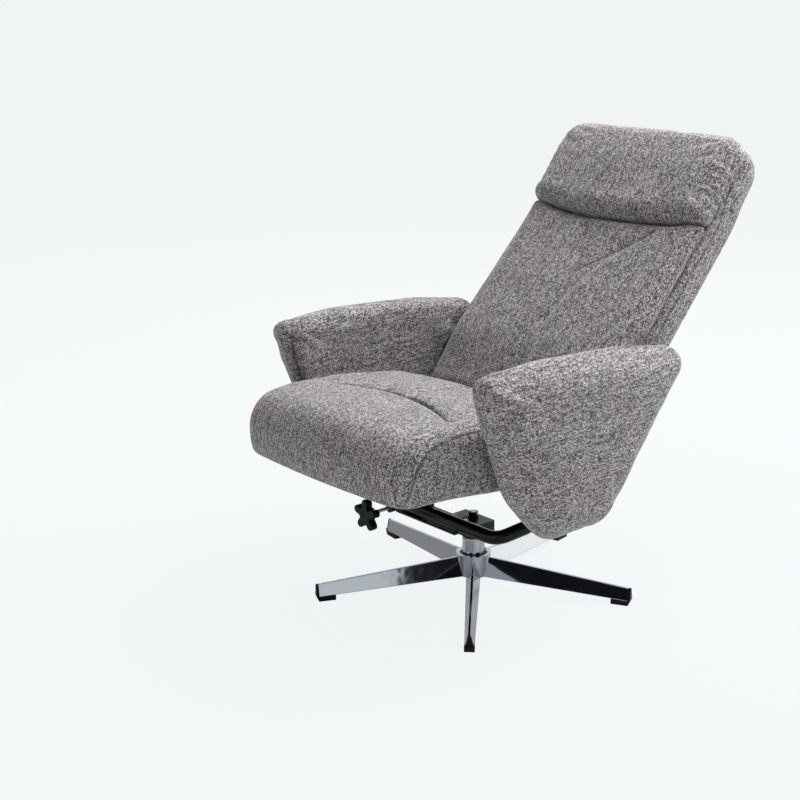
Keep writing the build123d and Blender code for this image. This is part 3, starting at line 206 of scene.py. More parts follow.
class ReclinerCushionSettings(bpy.types.PropertyGroup):
    """How the cushions are stuffed and sewn."""

    voxel: FloatProperty(
        name="Remesh voxel", description="Edge length of the even mesh that the cloth works on",
        default=0.006, min=0.004, max=0.02, unit="LENGTH",
    )
    inset: FloatProperty(
        name="Start inset", description="How much smaller than its solid a cover starts before it is filled",
        default=0.005, min=0.0, max=0.02, unit="LENGTH",
    )
    swell: FloatProperty(
        name="Largest swell", description="How far the filling may push any point of the cover",
        default=0.009, min=0.0, max=0.03, unit="LENGTH",
    )
    proud: FloatProperty(
        name="Standing proud", description="How far the filled cover stands outside its solid",
        default=0.0015, min=0.0, max=0.01, unit="LENGTH",
    )
    seat_proud: FloatProperty(
        name="Seat and arms standing proud", description="The same for the seat and the arms",
        default=0.0035, min=0.0, max=0.01, unit="LENGTH",
    )
    pressure: FloatProperty(
        name="Filling pressure", description="Cloth pressure inside the cover", default=4.0, min=0.0, max=20.0,
    )
    frames: IntProperty(
        name="Filling steps", description="Simulation frames that are run", default=20, min=1, max=60,
    )
    seam_depth: FloatProperty(
        name="Seam depth", description="How deep an ordinary seam draws the cover in",
        default=0.0036, min=0.0, max=0.02, unit="LENGTH",
    )
    seam_width: FloatProperty(
        name="Seam width", description="Half width of the valley along an ordinary seam",
        default=0.0065, min=0.001, max=0.05, unit="LENGTH",
    )
    channel_depth: FloatProperty(
        name="Channel depth", description="How deep the cross channel of the seat is drawn in",
        default=0.0130, min=0.0, max=0.03, unit="LENGTH",
    )


class ReclinerClothSettings(bpy.types.PropertyGroup):
    """Yarns of the woven cover."""

    dark: StringProperty(name="Dark yarn", description="sRGB hex of the darkest yarn", default="#343232")
    mid: StringProperty(name="Middle yarn", description="sRGB hex of the middle yarn", default="#716e6e")
    light: StringProperty(name="Light yarn", description="sRGB hex of the lightest yarn", default="#bebaba")
    cool: StringProperty(name="Cool patches", description="sRGB hex that tints the cool patches", default="#fafcfc")
    warm: StringProperty(name="Warm patches", description="sRGB hex that tints the warm patches", default="#fdfaf9")
    # the colour of the painted shade that darkens the line along every seam and crease
    seam_shade: StringProperty(name="Seam line", description="sRGB hex of the dark line of a seam", default="#1f1d1e")
    yarn_width: FloatProperty(
        name="Yarn width", description="Spacing of the yarns, drawn a little coarser than the real 1.5 mm",
        default=0.0017, min=0.0005, max=0.02, unit="LENGTH",
    )
    yarn_length: FloatProperty(
        name="Stitch length", description="Length of one light or dark stitch of a yarn",
        default=0.0025, min=0.001, max=0.1, unit="LENGTH",
    )
    rib_width: FloatProperty(
        name="Rib width", description="Spacing of the faint ribs that the thicker yarns draw",
        default=0.0034, min=0.001, max=0.05, unit="LENGTH",
    )
    rib_length: FloatProperty(
        name="Rib length", description="Length of the stretch over which a rib stays light or dark",
        default=0.0450, min=0.005, max=0.5, unit="LENGTH",
    )


class ReclinerMetalSettings(bpy.types.PropertyGroup):
    """Colours of the hard parts."""

    chrome: StringProperty(name="Chrome", description="sRGB hex of the polished castings", default="#b4b8be")
    steel: StringProperty(name="Powder coat", description="sRGB hex of the coated steel", default="#0b0b0c")
    zinc: StringProperty(name="Zinc", description="sRGB hex of the plated fasteners", default="#b9bcbf")
    plastic: StringProperty(name="Plastic", description="sRGB hex of the moulded plastic", default="#0b0b0c")


class ReclinerStudioSettings(bpy.types.PropertyGroup):
    """Camera, floor and lamps."""

    camera_place: FloatVectorProperty(
        name="Camera place", description="Where the camera stands", default=(2.3031, -2.1432, 1.3673),
        size=3, subtype="TRANSLATION",
    )
    camera_turn: FloatVectorProperty(
        name="Camera turn", description="How the camera is turned", size=3, subtype="EULER",
        default=(math.radians(73.439), math.radians(0.95), math.radians(49.688)),
    )
    camera_lens: FloatProperty(
        name="Lens", description="Focal length in millimetres on a 36 mm sensor", default=67.5, min=10, max=300,
    )
    floor: StringProperty(name="Floor", description="sRGB hex of the pale floor", default="#eef0f1")
    floor_paleness: FloatProperty(
        name="Floor paleness", description="How much of the shadow on the floor is lifted", default=0.94, min=0, max=1,
    )
    sky: StringProperty(name="Surroundings", description="sRGB hex of the pale surroundings", default="#f4f8f9")
    sky_light: FloatProperty(
        name="Ambient light", description="Strength of the light from all round", default=0.36, min=0, max=3,
    )
    key_power: FloatProperty(
        name="Overhead lamp", description="Power of the large soft lamp overhead, in watts",
        default=212.0, min=0, max=2000,
    )
    fill_power: FloatProperty(
        name="Front lamp", description="Power of the soft lamp at the front, in watts",
        default=12.0, min=0, max=2000,
    )


# ---------------------------------------------------------------- small tools

def linear(code):
    """An sRGB hex colour as linear RGBA."""
    parts = [int(code[i:i + 2], 16) / 255 for i in (1, 3, 5)]
    return [c / 12.92 if c <= 0.04045 else ((c + 0.055) / 1.055) ** 2.4 for c in parts] + [1.0]


def add_node(tree, kind, values=None, links=None, stops=None, **settings):
    """Adds one shader node with its settings, socket values, links and ramp stops."""
    node = tree.nodes.new(kind)
    for name, value in settings.items():
        setattr(node, name, value)
    for name, value in (values or {}).items():
        node.inputs[name].default_value = value
    for name, socket in (links or {}).items():
        tree.links.new(socket, node.inputs[name])
    if stops:
        ramp = node.color_ramp
        while len(ramp.elements) < len(stops):
            ramp.elements.new(0.5)
        for element, (place, colour) in zip(ramp.elements, stops):
            element.position = place
            element.color = colour
    return node


def new_material(name):
    """An empty node material and its tree."""
    material = bpy.data.materials.new(name)
    material.use_nodes = True
    material.node_tree.nodes.clear()
    return material, material.node_tree


def close_material(tree, shader):
    """Links the finished shader to the material's output."""
    add_node(tree, "ShaderNodeOutputMaterial", links={"Surface": shader.outputs[0]})


def settings():
    """The recliner's settings in this scene."""
    return bpy.context.scene.recliner


def deselect():
    """Leaves edit mode and selects nothing."""
    if bpy.context.object and bpy.context.object.mode != "OBJECT":
        bpy.ops.object.mode_set(mode="OBJECT")
    bpy.ops.object.select_all(action="DESELECT")


def make_active(piece):
    """Selects one piece alone."""
    deselect()
    piece.select_set(True)
    bpy.context.view_layer.objects.active = piece


def apply_modifier(piece, name, kind, **values):
    """Adds a modifier with its values and applies it."""
    modifier = piece.modifiers.new(name, kind)
    for key, value in values.items():
        setattr(modifier, key, value)
    make_active(piece)
    bpy.ops.object.modifier_apply(modifier=modifier.name)


def points_of(mesh):
    """The places of a mesh's vertices, one row each."""
    co = np.empty(len(mesh.vertices) * 3, np.float32)
    mesh.vertices.foreach_get("co", co)
    return co.reshape(-1, 3).astype(float)


def normals_of(mesh):
    """The normals of a mesh's vertices, one row each."""
    no = np.empty(len(mesh.vertices) * 3, np.float32)
    mesh.vertex_normals.foreach_get("vector", no)
    return no.reshape(-1, 3).astype(float)


def move_points(mesh, co):
    """Puts a mesh's vertices in new places."""
    mesh.vertices.foreach_set("co", np.asarray(co, np.float32).ravel())
    mesh.update()


def turned(matrix, vectors, is_direction=False):
    """Points or directions taken through a matrix."""
    m = np.array(matrix)
    out = vectors @ m[:3, :3].T
    return out if is_direction else out + m[:3, 3]


def finish_piece(piece, body, material, nodes):
    """Gives a piece its material, its body and the nodes that it stands for."""
    piece.data.materials.clear()
    piece.data.materials.append(material)
    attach(piece, body)
    if nodes:
        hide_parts(*nodes)


# ---------------------------------------------------------------- materials

def woven_cover(name, turn, along, across, beside):
    """Heathered chenille tweed, woven: soft, matt, light and dark stitches in rows that run along the cushion.

    The rows lie beside each other along the axis across, and along beside where the cover faces across.
    A real yarn is about 1.5 mm. It is drawn 1.7 mm wide, because the render's pixel is 2.3 mm.
    """
    cloth = settings().cloth
    material, tree = new_material(name)
    coords = add_node(tree, "ShaderNodeTexCoord")
    local = add_node(
        tree, "ShaderNodeMapping", {"Rotation": (-turn, 0, 0)}, {"Vector": coords.outputs["Object"]},
    )

    def ribs(axis):
        squeeze = [cloth.rib_width / cloth.rib_length] * 3
        squeeze["xyz".index(axis)] = 1.0
        drawn = add_node(tree, "ShaderNodeMapping", {"Scale": squeeze}, {"Vector": local.outputs[0]})
        return add_node(
            tree, "ShaderNodeTexNoise", {"Scale": 1 / cloth.rib_width, "Detail": 1.5, "Roughness": 0.6},
            {"Vector": drawn.outputs[0]},
        )

    # where the cover faces along the axis across, the rows are set side by side along the axis beside
    facing = add_node(
        tree, "ShaderNodeMapping", {"Rotation": (-turn, 0, 0)}, {"Vector": coords.outputs["Normal"]},
    )
    parts = add_node(tree, "ShaderNodeSeparateXYZ", links={0: facing.outputs[0]})
    sideways = add_node(
        tree, "ShaderNodeMath", links={0: parts.outputs["xyz".index(across)]}, operation="ABSOLUTE",
    )
    turned_away = add_node(
        tree, "ShaderNodeMapRange", {"From Min": 0.6, "From Max": 0.85}, {"Value": sideways.outputs[0]},
    )
    rows = add_node(
        tree, "ShaderNodeMix", links={
            "Factor": turned_away.outputs[0], "A": ribs(across).outputs[0], "B": ribs(beside).outputs[0],
        }, data_type="FLOAT",
    )
    rows = add_node(
        tree, "ShaderNodeMapRange", {"From Min": 0.30, "From Max": 0.70}, {"Value": rows.outputs[0]},
    )
    stretch = [1.0, 1.0, 1.0]
    stretch["xyz".index(along)] = cloth.yarn_width / cloth.yarn_length
    drawn = add_node(tree, "ShaderNodeMapping", {"Scale": stretch}, {"Vector": local.outputs[0]})
    stitches = add_node(
        tree, "ShaderNodeTexVoronoi", {"Scale": 1 / cloth.yarn_width, "Randomness": 1.0},
        {"Vector": drawn.outputs[0]},
    )
    # a fifth of the tone comes from the ribs
    tone = add_node(
        tree, "ShaderNodeMix", {"Factor": 0.20}, {"A": stitches.outputs["Color"], "B": rows.outputs[0]},
        data_type="FLOAT",
    )
    colour = add_node(
        tree, "ShaderNodeValToRGB", links={"Fac": tone.outputs[0]},
        stops=[(0.27, linear(cloth.dark)), (0.50, linear(cloth.mid)), (0.73, linear(cloth.light))],
    )
    # the dye drifts a little between cool and warm, over about 100 mm
    patches = add_node(
        tree, "ShaderNodeTexNoise", {"Scale": 1 / 0.10, "Detail": 2.0, "Roughness": 0.5},
        {"Vector": local.outputs[0]},
    )
    tint = add_node(
        tree, "ShaderNodeValToRGB", links={"Fac": patches.outputs[0]},
        stops=[(0.40, linear(cloth.cool)), (0.60, linear(cloth.warm))],
    )
    dyed = add_node(
        tree, "ShaderNodeMix", {"Factor": 1.0}, {"A": colour.outputs[0], "B": tint.outputs[0]},
        data_type="RGBA", blend_type="MULTIPLY",
    )
    # a dark line of painted shade along every seam and crease, standing for the shadow in its valley
    seam = add_node(tree, "ShaderNodeAttribute", attribute_name="seam")
    sewn = add_node(
        tree, "ShaderNodeMix", {"B": linear(cloth.seam_shade)},
        {"Factor": seam.outputs["Fac"], "A": dyed.outputs["Result"]}, data_type="RGBA",
    )
    bump = add_node(
        tree, "ShaderNodeBump", {"Strength": 0.4, "Distance": 0.0009}, {"Height": tone.outputs[0]},
    )
    shader = add_node(
        tree, "ShaderNodeBsdfPrincipled",
        {"Roughness": 0.92, "Specular IOR Level": 0.18, "Sheen Weight": 0.20, "Sheen Roughness": 0.45},
        {"Base Color": sewn.outputs["Result"], "Normal": bump.outputs[0]},
    )
    close_material(tree, shader)
    return material


def polished_chrome():
    """Cast aluminium, ground, polished and chromed: mirror bright with a faint waviness of the casting."""
    material, tree = new_material("Chromed cast aluminium, polished")
    coords = add_node(tree, "ShaderNodeTexCoord")
    waves = add_node(
        tree, "ShaderNodeTexNoise", {"Scale": 1 / 0.030, "Detail": 1.0}, {"Vector": coords.outputs["Object"]},
    )
    marks = add_node(
        tree, "ShaderNodeTexNoise", {"Scale": 1 / 0.002, "Detail": 3.0}, {"Vector": coords.outputs["Object"]},
    )
    gloss = add_node(
        tree, "ShaderNodeMapRange", {"To Min": 0.03, "To Max": 0.10}, {"Value": marks.outputs[0]},
    )
    bump = add_node(
        tree, "ShaderNodeBump", {"Strength": 0.10, "Distance": 0.002}, {"Height": waves.outputs[0]},
    )
    shader = add_node(
        tree, "ShaderNodeBsdfPrincipled", {"Base Color": linear(settings().metal.chrome), "Metallic": 1.0},
        {"Roughness": gloss.outputs[0], "Normal": bump.outputs[0]},
    )
    close_material(tree, shader)
    return material


def coated_steel():
    """Steel with a semi-gloss black powder coat: dark, a fine orange peel of about 1.5 mm."""
    material, tree = new_material("Powder coated steel, semi-gloss")
    coords = add_node(tree, "ShaderNodeTexCoord")
    peel = add_node(
        tree, "ShaderNodeTexNoise", {"Scale": 1 / 0.0015, "Detail": 1.5}, {"Vector": coords.outputs["Object"]},
    )
    gloss = add_node(
        tree, "ShaderNodeMapRange", {"To Min": 0.18, "To Max": 0.30}, {"Value": peel.outputs[0]},
    )
    bump = add_node(
        tree, "ShaderNodeBump", {"Strength": 0.12, "Distance": 0.0003}, {"Height": peel.outputs[0]},
    )
    shader = add_node(
        tree, "ShaderNodeBsdfPrincipled",
        {"Base Color": linear(settings().metal.steel), "IOR": 1.5, "Specular IOR Level": 0.2},
        {"Roughness": gloss.outputs[0], "Normal": bump.outputs[0]},
    )
    close_material(tree, shader)
    return material


def zinc_plate():
    """Zinc plated steel, bright: pale grey metal with a slightly cloudy plating of 4 mm grain."""
    material, tree = new_material("Zinc plated steel, bright")
    coords = add_node(tree, "ShaderNodeTexCoord")
    cloud = add_node(
        tree, "ShaderNodeTexNoise", {"Scale": 1 / 0.004, "Detail": 2.0}, {"Vector": coords.outputs["Object"]},
    )
    gloss = add_node(
        tree, "ShaderNodeMapRange", {"To Min": 0.22, "To Max": 0.40}, {"Value": cloud.outputs[0]},
    )
    shader = add_node(
        tree, "ShaderNodeBsdfPrincipled", {"Base Color": linear(settings().metal.zinc), "Metallic": 1.0},
        {"Roughness": gloss.outputs[0]},
    )
    close_material(tree, shader)
    return material


def moulded(name, code, rough, grain, shine):
    """Injection moulded thermoplastic or rubber: even colour, a fine spark-eroded grain in the surface."""
    material, tree = new_material(name)
    coords = add_node(tree, "ShaderNodeTexCoord")
    texture = add_node(
        tree, "ShaderNodeTexNoise", {"Scale": 1 / grain, "Detail": 2.0}, {"Vector": coords.outputs["Object"]},
    )
    gloss = add_node(
        tree, "ShaderNodeMapRange", {"To Min": rough - 0.07, "To Max": rough + 0.07},
        {"Value": texture.outputs[0]},
    )
    bump = add_node(
        tree, "ShaderNodeBump", {"Strength": 0.2, "Distance": 0.0002}, {"Height": texture.outputs[0]},
    )
    shader = add_node(
        tree, "ShaderNodeBsdfPrincipled",
        {"Base Color": linear(code), "IOR": 1.49, "Specular IOR Level": shine},
        {"Roughness": gloss.outputs[0], "Normal": bump.outputs[0]},
    )
    close_material(tree, shader)
    return material


def birch_plywood():
    """Birch plywood, sanded and left raw: pale tan, long grain of 2 mm lines, matt."""
    material, tree = new_material("Birch plywood, sanded")
    coords = add_node(tree, "ShaderNodeTexCoord")
    drawn = add_node(
        tree, "ShaderNodeMapping", {"Scale": (1.0, 0.06, 1.0)}, {"Vector": coords.outputs["Object"]},
    )
    grain = add_node(
        tree, "ShaderNodeTexNoise", {"Scale": 1 / 0.002, "Detail": 3.0}, {"Vector": drawn.outputs[0]},
    )
    colour = add_node(
        tree, "ShaderNodeValToRGB", links={"Fac": grain.outputs[0]},
        stops=[(0.3, linear("#a98658")), (0.7, linear("#d8bb8c"))],
    )
    shader = add_node(
        tree, "ShaderNodeBsdfPrincipled", {"Roughness": 0.7, "IOR": 1.5}, {"Base Color": colour.outputs[0]},
    )
    close_material(tree, shader)
    return material


def woven_strap(name, code, spacing):
    """Woven synthetic webbing or felted underlay: matt, a crossed weave at the real thread spacing."""
    material, tree = new_material(name)
    coords = add_node(tree, "ShaderNodeTexCoord")
    weave = add_node(
        tree, "ShaderNodeTexVoronoi", {"Scale": 1 / spacing}, {"Vector": coords.outputs["Object"]},
    )
    dark = [c * 0.6 for c in linear(code)[:3]] + [1.0]
    colour = add_node(
        tree, "ShaderNodeValToRGB", links={"Fac": weave.outputs[0]},
        stops=[(0.1, linear(code)), (0.8, dark)],
    )
    bump = add_node(
        tree, "ShaderNodeBump", {"Strength": 0.4, "Distance": 0.0005}, {"Height": weave.outputs[0]},
    )
    shader = add_node(
        tree, "ShaderNodeBsdfPrincipled", {"Roughness": 0.9, "Specular IOR Level": 0.2},
        {"Base Color": colour.outputs[0], "Normal": bump.outputs[0]},
    )
    close_material(tree, shader)
    return material


# ---------------------------------------------------------------- cushions

def cover_from_node(node, name):
    """An even, closed cover in the place of a CAD cushion, and the solid that it is fitted to."""
    piece = bpy.data.objects.new(name, frame["nodes"][node].data.copy())
    bpy.context.scene.collection.objects.link(piece)
    shape = bmesh.new()
    shape.from_mesh(piece.data)
    bmesh.ops.remove_doubles(shape, verts=shape.verts, dist=WELD_DISTANCE)
    bmesh.ops.recalc_face_normals(shape, faces=shape.faces)
    solid = BVHTree.FromBMesh(shape)
    shape.to_mesh(piece.data)
    shape.free()
    apply_modifier(
        piece, "Even mesh", "REMESH", mode="VOXEL", voxel_size=settings().cushion.voxel, adaptivity=0.0,
    )
    apply_modifier(piece, "Ease", "SMOOTH", factor=0.5, iterations=5)
    return piece, solid


def line_distance(points, line):
    """Distance of 2-D points to a line of points, and how far along the line the nearest place is."""
    best = np.full(len(points), 1e9)
    along = np.zeros(len(points))
    run = 0.0
    for a, b in zip(np.array(line[:-1], float), np.array(line[1:], float)):
        step = b - a
        length = np.linalg.norm(step)
        share = np.clip((points - a) @ step / length**2, 0, 1)
        gap = np.linalg.norm(points - a - share[:, None] * step, axis=1)
        nearer = gap < best
        best[nearer] = gap[nearer]
        along[nearer] = (run + share * length)[nearer]
        run += length
    return best, along


def seam_fields(mesh, place, seams):
    """For each seam: its kind, and for each vertex its distance from the line and the run along it in metres, how
    much it faces the seam's side, and whether it lies above the line, along the second axis of the drawing.
    """
    inverse = place.inverted()
    local = turned(inverse, points_of(mesh)) / MM
    facing = turned(inverse, normals_of(mesh), True)
    fields = []
    for kind, axes, seen, side, line in seams:
        flat = local[:, ["xyz".index(axes[0]), "xyz".index(axes[1])]]
        gap, along = line_distance(flat, line)
        towards = facing[:, "xyz".index(seen)] * side
        near = np.clip((towards - FACING_FROM) / FACING_BLEND, 0, 1)
        above = flat[:, 1] > np.interp(flat[:, 0], *zip(*sorted(line)))
        fields.append((kind, gap * MM, along * MM, near, above))
    return fields


def even_out(mesh, values, rounds):
    """Averages a value over neighbouring vertices, so that only its broad course is left."""
    edges = np.empty(len(mesh.edges) * 2, np.int32)
    mesh.edges.foreach_get("vertices", edges)
    a, b = edges.reshape(-1, 2).T
    count = np.bincount(a, minlength=len(values)) + np.bincount(b, minlength=len(values)) + 1.0
    for _ in range(rounds):
        total = values + np.bincount(a, values[b], len(values)) + np.bincount(b, values[a], len(values))
        values = total / count
    return values


def fit_to_solid(piece, solid, proud):
    """Moves the broad shape of a filled cover back onto its solid, and keeps its small swells and folds."""
    mesh = piece.data
    co, no = points_of(mesh), normals_of(mesh)
    off = np.empty(len(co))
    for index, point in enumerate(co):
        near, normal, _, _ = solid.find_nearest(Vector(point))
        off[index] = (Vector(point) - near).dot(normal)
    move_points(mesh, co + no * (proud - even_out(mesh, off, BROAD_ROUNDS))[:, None])


def stuff_cover(piece, solid, place, seams, rests, proud):
    """Shrinks a cover a little, fills it by cloth pressure between its seams, and rounds it by one subdivision.

    The function rests says how firmly each vertex lies on what is under the cushion, from 0 to 1.
    """
    cushion = settings().cushion
    mesh = piece.data
    co, no = points_of(mesh), normals_of(mesh)
    inverse = place.inverted()
    local, facing = turned(inverse, co) / MM, turned(inverse, no, True)
    resting = rests(local, facing)
    move_points(mesh, co - no * cushion.inset * (1 - resting)[:, None])
    held = resting > 0.5
    for kind, gap, _, near, _ in seam_fields(mesh, place, seams):
        held |= (gap < HELD_WIDTH) & (near > 0.5) & (kind != "crease")
    group = piece.vertex_groups.new(name="held")
    group.add([int(i) for i in np.nonzero(held)[0]], 1.0, "REPLACE")
    start = points_of(mesh)
    cloth = piece.modifiers.new("Filling", "CLOTH")
    cloth.settings.vertex_group_mass = "held"
    cloth.settings.use_pressure = True
    cloth.settings.uniform_pressure_force = cushion.pressure
    cloth.settings.effector_weights.gravity = 0.0
    cloth.settings.quality = 4
    cloth.point_cache.frame_start = 1
    cloth.point_cache.frame_end = cushion.frames
    for step in range(1, cushion.frames + 1):
        bpy.context.scene.frame_set(step)
    make_active(piece)
    bpy.ops.object.modifier_apply(modifier=cloth.name)
    bpy.context.scene.frame_set(1)
    shift = points_of(piece.data) - start
    length = np.maximum(np.linalg.norm(shift, axis=1), 1e-9)
    capped = cushion.swell * np.tanh(length / cushion.swell)
    move_points(piece.data, start + shift * (capped / length)[:, None])
    piece.vertex_groups.clear()
    apply_modifier(piece, "Settle", "SMOOTH", factor=0.4, iterations=2)
    fit_to_solid(piece, solid, proud)
    apply_modifier(piece, "Round", "SUBSURF", levels=1, render_levels=1)


def never_rests(local, facing):
    """For a cushion that is filled on all sides: no vertex rests."""
    return np.zeros(len(local))


def sew(piece, place, seams):
    """Draws the seams into the finished cover and marks along them a line of painted shade for the material."""
    cushion = settings().cushion
    mesh = piece.data
    co, no = points_of(mesh), normals_of(mesh)
    drop = np.zeros(len(co))
    line = np.zeros(len(co))
    for kind, gap, along, near, above in seam_fields(mesh, place, seams):
        setting, share, sharp, below_width, above_width, shown = SEAM_KINDS[kind]
        depth = share * getattr(cushion, setting)
        width = sharp or cushion.seam_width
        broad = np.where(above, above_width, below_width)
        valley = depth * (0.5 * np.exp(-((gap / width) ** 2)) + 0.5 * np.exp(-((gap / broad) ** 2)))
        # the cover puckers a little where the stitches draw it in
        channel = kind == "channel"
        height = CHANNEL_PUCKER_HEIGHT if channel else PUCKER_HEIGHT
        wander = PUCKER_WANDER * np.sin(along * PUCKER_WANDER_RATE)
        pucker = height * np.sin(along * 2 * math.pi / PUCKER_SPACING + wander)
        valley += pucker * np.exp(-((gap / PUCKER_REACH) ** 2)) * (gap > PUCKER_FREE)
        drop = np.maximum(drop, valley * near)
        # the half width and darkness of the painted shade along the line
        seam_shade = CHANNEL_SEAM_SHADE_WIDTH if channel else SEAM_SHADE_WIDTH
        line = np.maximum(line, shown * np.exp(-((gap / seam_shade) ** 2)) * near)
    move_points(mesh, co - no * drop[:, None])
    # the attribute carries the painted shade of the seams and creases to the material
    seam = mesh.attributes.new("seam", "FLOAT", "POINT")
    seam.data.foreach_set("value", line.astype(np.float32))
    mesh.shade_smooth()


def mirrored_cover(piece, name):
    """The same cover for the other side, with its own mesh."""
    mesh = piece.data.copy()
    shape = bmesh.new()
    shape.from_mesh(mesh)
    for vert in shape.verts:
        vert.co.x = -vert.co.x
    bmesh.ops.reverse_faces(shape, faces=shape.faces)
    shape.to_mesh(mesh)
    shape.free()
    other = bpy.data.objects.new(name, mesh)
    bpy.context.scene.collection.objects.link(other)
    return other


class RECLINER_OT_seat(bpy.types.Operator):
    """Makes the seat cushion with its cross channel, panel seams and side boxing."""

    bl_idname = "recliner.seat"
    bl_label = "Seat cushion"

    def execute(self, context):
        def rests(local, facing):
            # the underside lies on the seat's frame and isn't filled
            return np.clip((-facing[:, 2] - 0.5) / 0.3, 0, 1)

        piece, solid = cover_from_node("seat_cushion", "seat_cover")
        stuff_cover(piece, solid, SEAT_FRAME, SEAT_SEAMS, rests, settings().cushion.seat_proud)
        sew(piece, SEAT_FRAME, SEAT_SEAMS)
        cover = woven_cover("Chenille tweed, seat", SEAT_TURN, "y", "x", "y")
        finish_piece(piece, "seat", cover, ["seat_cushion"])
        return {"FINISHED"}


class RECLINER_OT_back(bpy.types.Operator):
    """Makes the rear shell cover, the front pad with its forked seam and the headrest with gathered sides."""

    bl_idname = "recliner.back"
    bl_label = "Back and headrest"

    def execute(self, context):
        cover = woven_cover("Chenille tweed, back", BACK_TURN, "z", "x", "y")
        jobs = [
            ("back_shell", "back_shell_cover", SHELL_SEAMS, 0.55),
            ("back_pad", "back_pad_cover", BACK_PAD_SEAMS, 0.7),
            ("headrest_pad", "headrest_cover", HEAD_SEAMS, 0.8),
        ]
        for node, name, seams, fill in jobs:
            piece, solid = cover_from_node(node, name)
            stuff_cover(piece, solid, BACK_FRAME, seams, never_rests, settings().cushion.proud)
            sew(piece, BACK_FRAME, seams)
            if node == "headrest_pad":
                self.gather(piece)
            finish_piece(piece, "back", cover, [node])
        return {"FINISHED"}

    def gather(self, piece):
        """Draws small folds that run in from the sewn sides of the headrest."""
        mesh = piece.data
        co, no = points_of(mesh), normals_of(mesh)
        local = turned(BACK_FRAME.inverted(), co) / MM
        gap, _ = line_distance(local[:, 1:3], GATHERED)
        across, depth, up = local.T
        inward = np.maximum(GATHER_SIDE - np.abs(across), 0)
        window = np.clip((up - GATHER_LOW) / GATHER_END, 0, 1) * np.clip((GATHER_HIGH - up) / GATHER_END, 0, 1)
        front = np.clip((-depth - GATHER_FRONT) / GATHER_FRONT_BLEND, 0, 1)
        reach = np.exp(-((inward / GATHER_REACH) ** 2)) * np.exp(-((gap / GATHER_FROM_SEAM) ** 2))
        wander = GATHER_WANDER * np.sin(up / GATHER_WANDER_LENGTH)
        waves = np.sin(up * 2 * math.pi / GATHER_SPACING + wander + np.sign(across))
        size = np.where(across > 0, GATHER_LEFT, GATHER_RIGHT)
        move_points(mesh, co + no * (size * waves * window * front * reach)[:, None])


class RECLINER_OT_arms(bpy.types.Operator):
    """Makes the padded wing of each arm with its roll crease and border seam."""

    bl_idname = "recliner.arms"
    bl_label = "Arm pads"

    def execute(self, context):
        # the seams are drawn for the arm on the positive side, and its cover is mirrored for the other
        near, far = "arm_pad_left", "arm_pad_right"
        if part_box(near)[0].x < 0:
            near, far = far, near
        piece, solid = cover_from_node(near, near.replace("pad", "cover"))
        stuff_cover(piece, solid, ARM_FRAME, ARM_SEAMS, never_rests, settings().cushion.seat_proud)
        low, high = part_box(near)
        self.slope_roll(piece, low.x / MM, high.x / MM)
        sew(piece, ARM_FRAME, ARM_SEAMS)
        other = mirrored_cover(piece, far.replace("pad", "cover"))
        cover = woven_cover("Chenille tweed, arms", 0.0, "y", "z", "x")
        for made, node in ((piece, near), (other, far)):
            finish_piece(made, "chassis", cover, [node])
        return {"FINISHED"}

    def slope_roll(self, piece, back, face):
        """Slopes the outer top of the arm down to its crease, draws its lowest tip up and its inner cover over the
        side plate's edge. The arm's solid reaches from back to face across the chair, in mm.
        """
        co = points_of(piece.data) / MM
        rise = np.clip((co[:, 2] - np.interp(co[:, 1], *zip(*ARM_CREASE))) / ARM_ROLL_RISE, 0, ARM_ROLL_LIMIT)
        over = co[:, 0] - (face - ARM_ROLL_RUN * rise**ARM_ROLL_CURVE)
        co[:, 0] -= np.where(rise > 0, np.maximum(over, 0), 0)
        tip = np.clip((ARM_TIP_TOP - co[:, 2]) / ARM_TIP_HEIGHT, 0, 1)
        co[:, 2] += ARM_TIP_LIFT * tip * tip * (3 - 2 * tip)
        gap, _ = line_distance(co[:, 1:3], PLATE_EDGE)
        hem = PLATE_HEM * np.clip((PLATE_HEM_REACH - gap) / PLATE_HEM_BLEND, 0, 1)
        co[:, 0] -= np.where(co[:, 0] < back + PLATE_HEM_SKIN, hem, 0)
        move_points(piece.data, co * MM)
        apply_modifier(piece, "Soften", "SMOOTH", factor=0.4, iterations=3)


# ---------------------------------------------------------------- hard parts

class RECLINER_OT_finishes(bpy.types.Operator):
    """Gives every carried-over CAD node the finish of its slot."""

    bl_idname = "recliner.finishes"
    bl_label = "Finishes of the hard parts"

    def execute(self, context):
        metal = settings().metal
        finishes = {
            "chrome": polished_chrome(),
            "black_steel": coated_steel(),
            "zinc_steel": zinc_plate(),
            "black_plastic": moulded("Black polypropylene, moulded", metal.plastic, 0.34, 0.0008, 0.12),
            "nylon": moulded("Natural nylon, moulded", "#e4e1d6", 0.45, 0.0009, 0.5),
            "rubber": moulded("Black rubber, moulded", "#161617", 0.62, 0.0012, 0.2),
            "plywood": birch_plywood(),
            "webbing": woven_strap("Elastic webbing, woven", "#2c2c2e", 0.0016),
            "dust_cloth": woven_strap("Black dust cloth, spun bonded", "#18181a", 0.0011),
            "upholstery": woven_cover("Chenille tweed, hidden", 0.0, "y", "x", "z"),
        }
        for node in frame["nodes"].values():
            for place in node.material_slots:
                place.material = finishes[place.material.name.split(".")[0]]
        return {"FINISHED"}


# ---------------------------------------------------------------- studio

# the floor's width in metres, and how much of its paleness a mirror shows
FLOOR_SIZE = 400.0
MIRRORED_SHARE = 0.3
# the cards round the chrome: (name, material, the angles in degrees and the radius at which it stands, the heights of
# its lower and upper edge), in metres
CARDS = [
    ("dark_card_right", "felt", -19, 24, 4.6, 0.2, 2.5),
    ("dark_card_front", "felt", -100, -54, 4.6, 0.2, 2.5),
    # the low grey card glows evenly, only in mirrors, to paint the floor's shadow into the chrome's reflection
    ("grey_card_low", "grey", -180, -140, 0.45, 0.0, 0.08),
    # the low white card glows brighter than the backdrop, only in mirrors, to paint a bright reflection into the
    # chrome
    ("white_card_low", "white", 52, 104, 0.45, 0.0, 0.08),
]


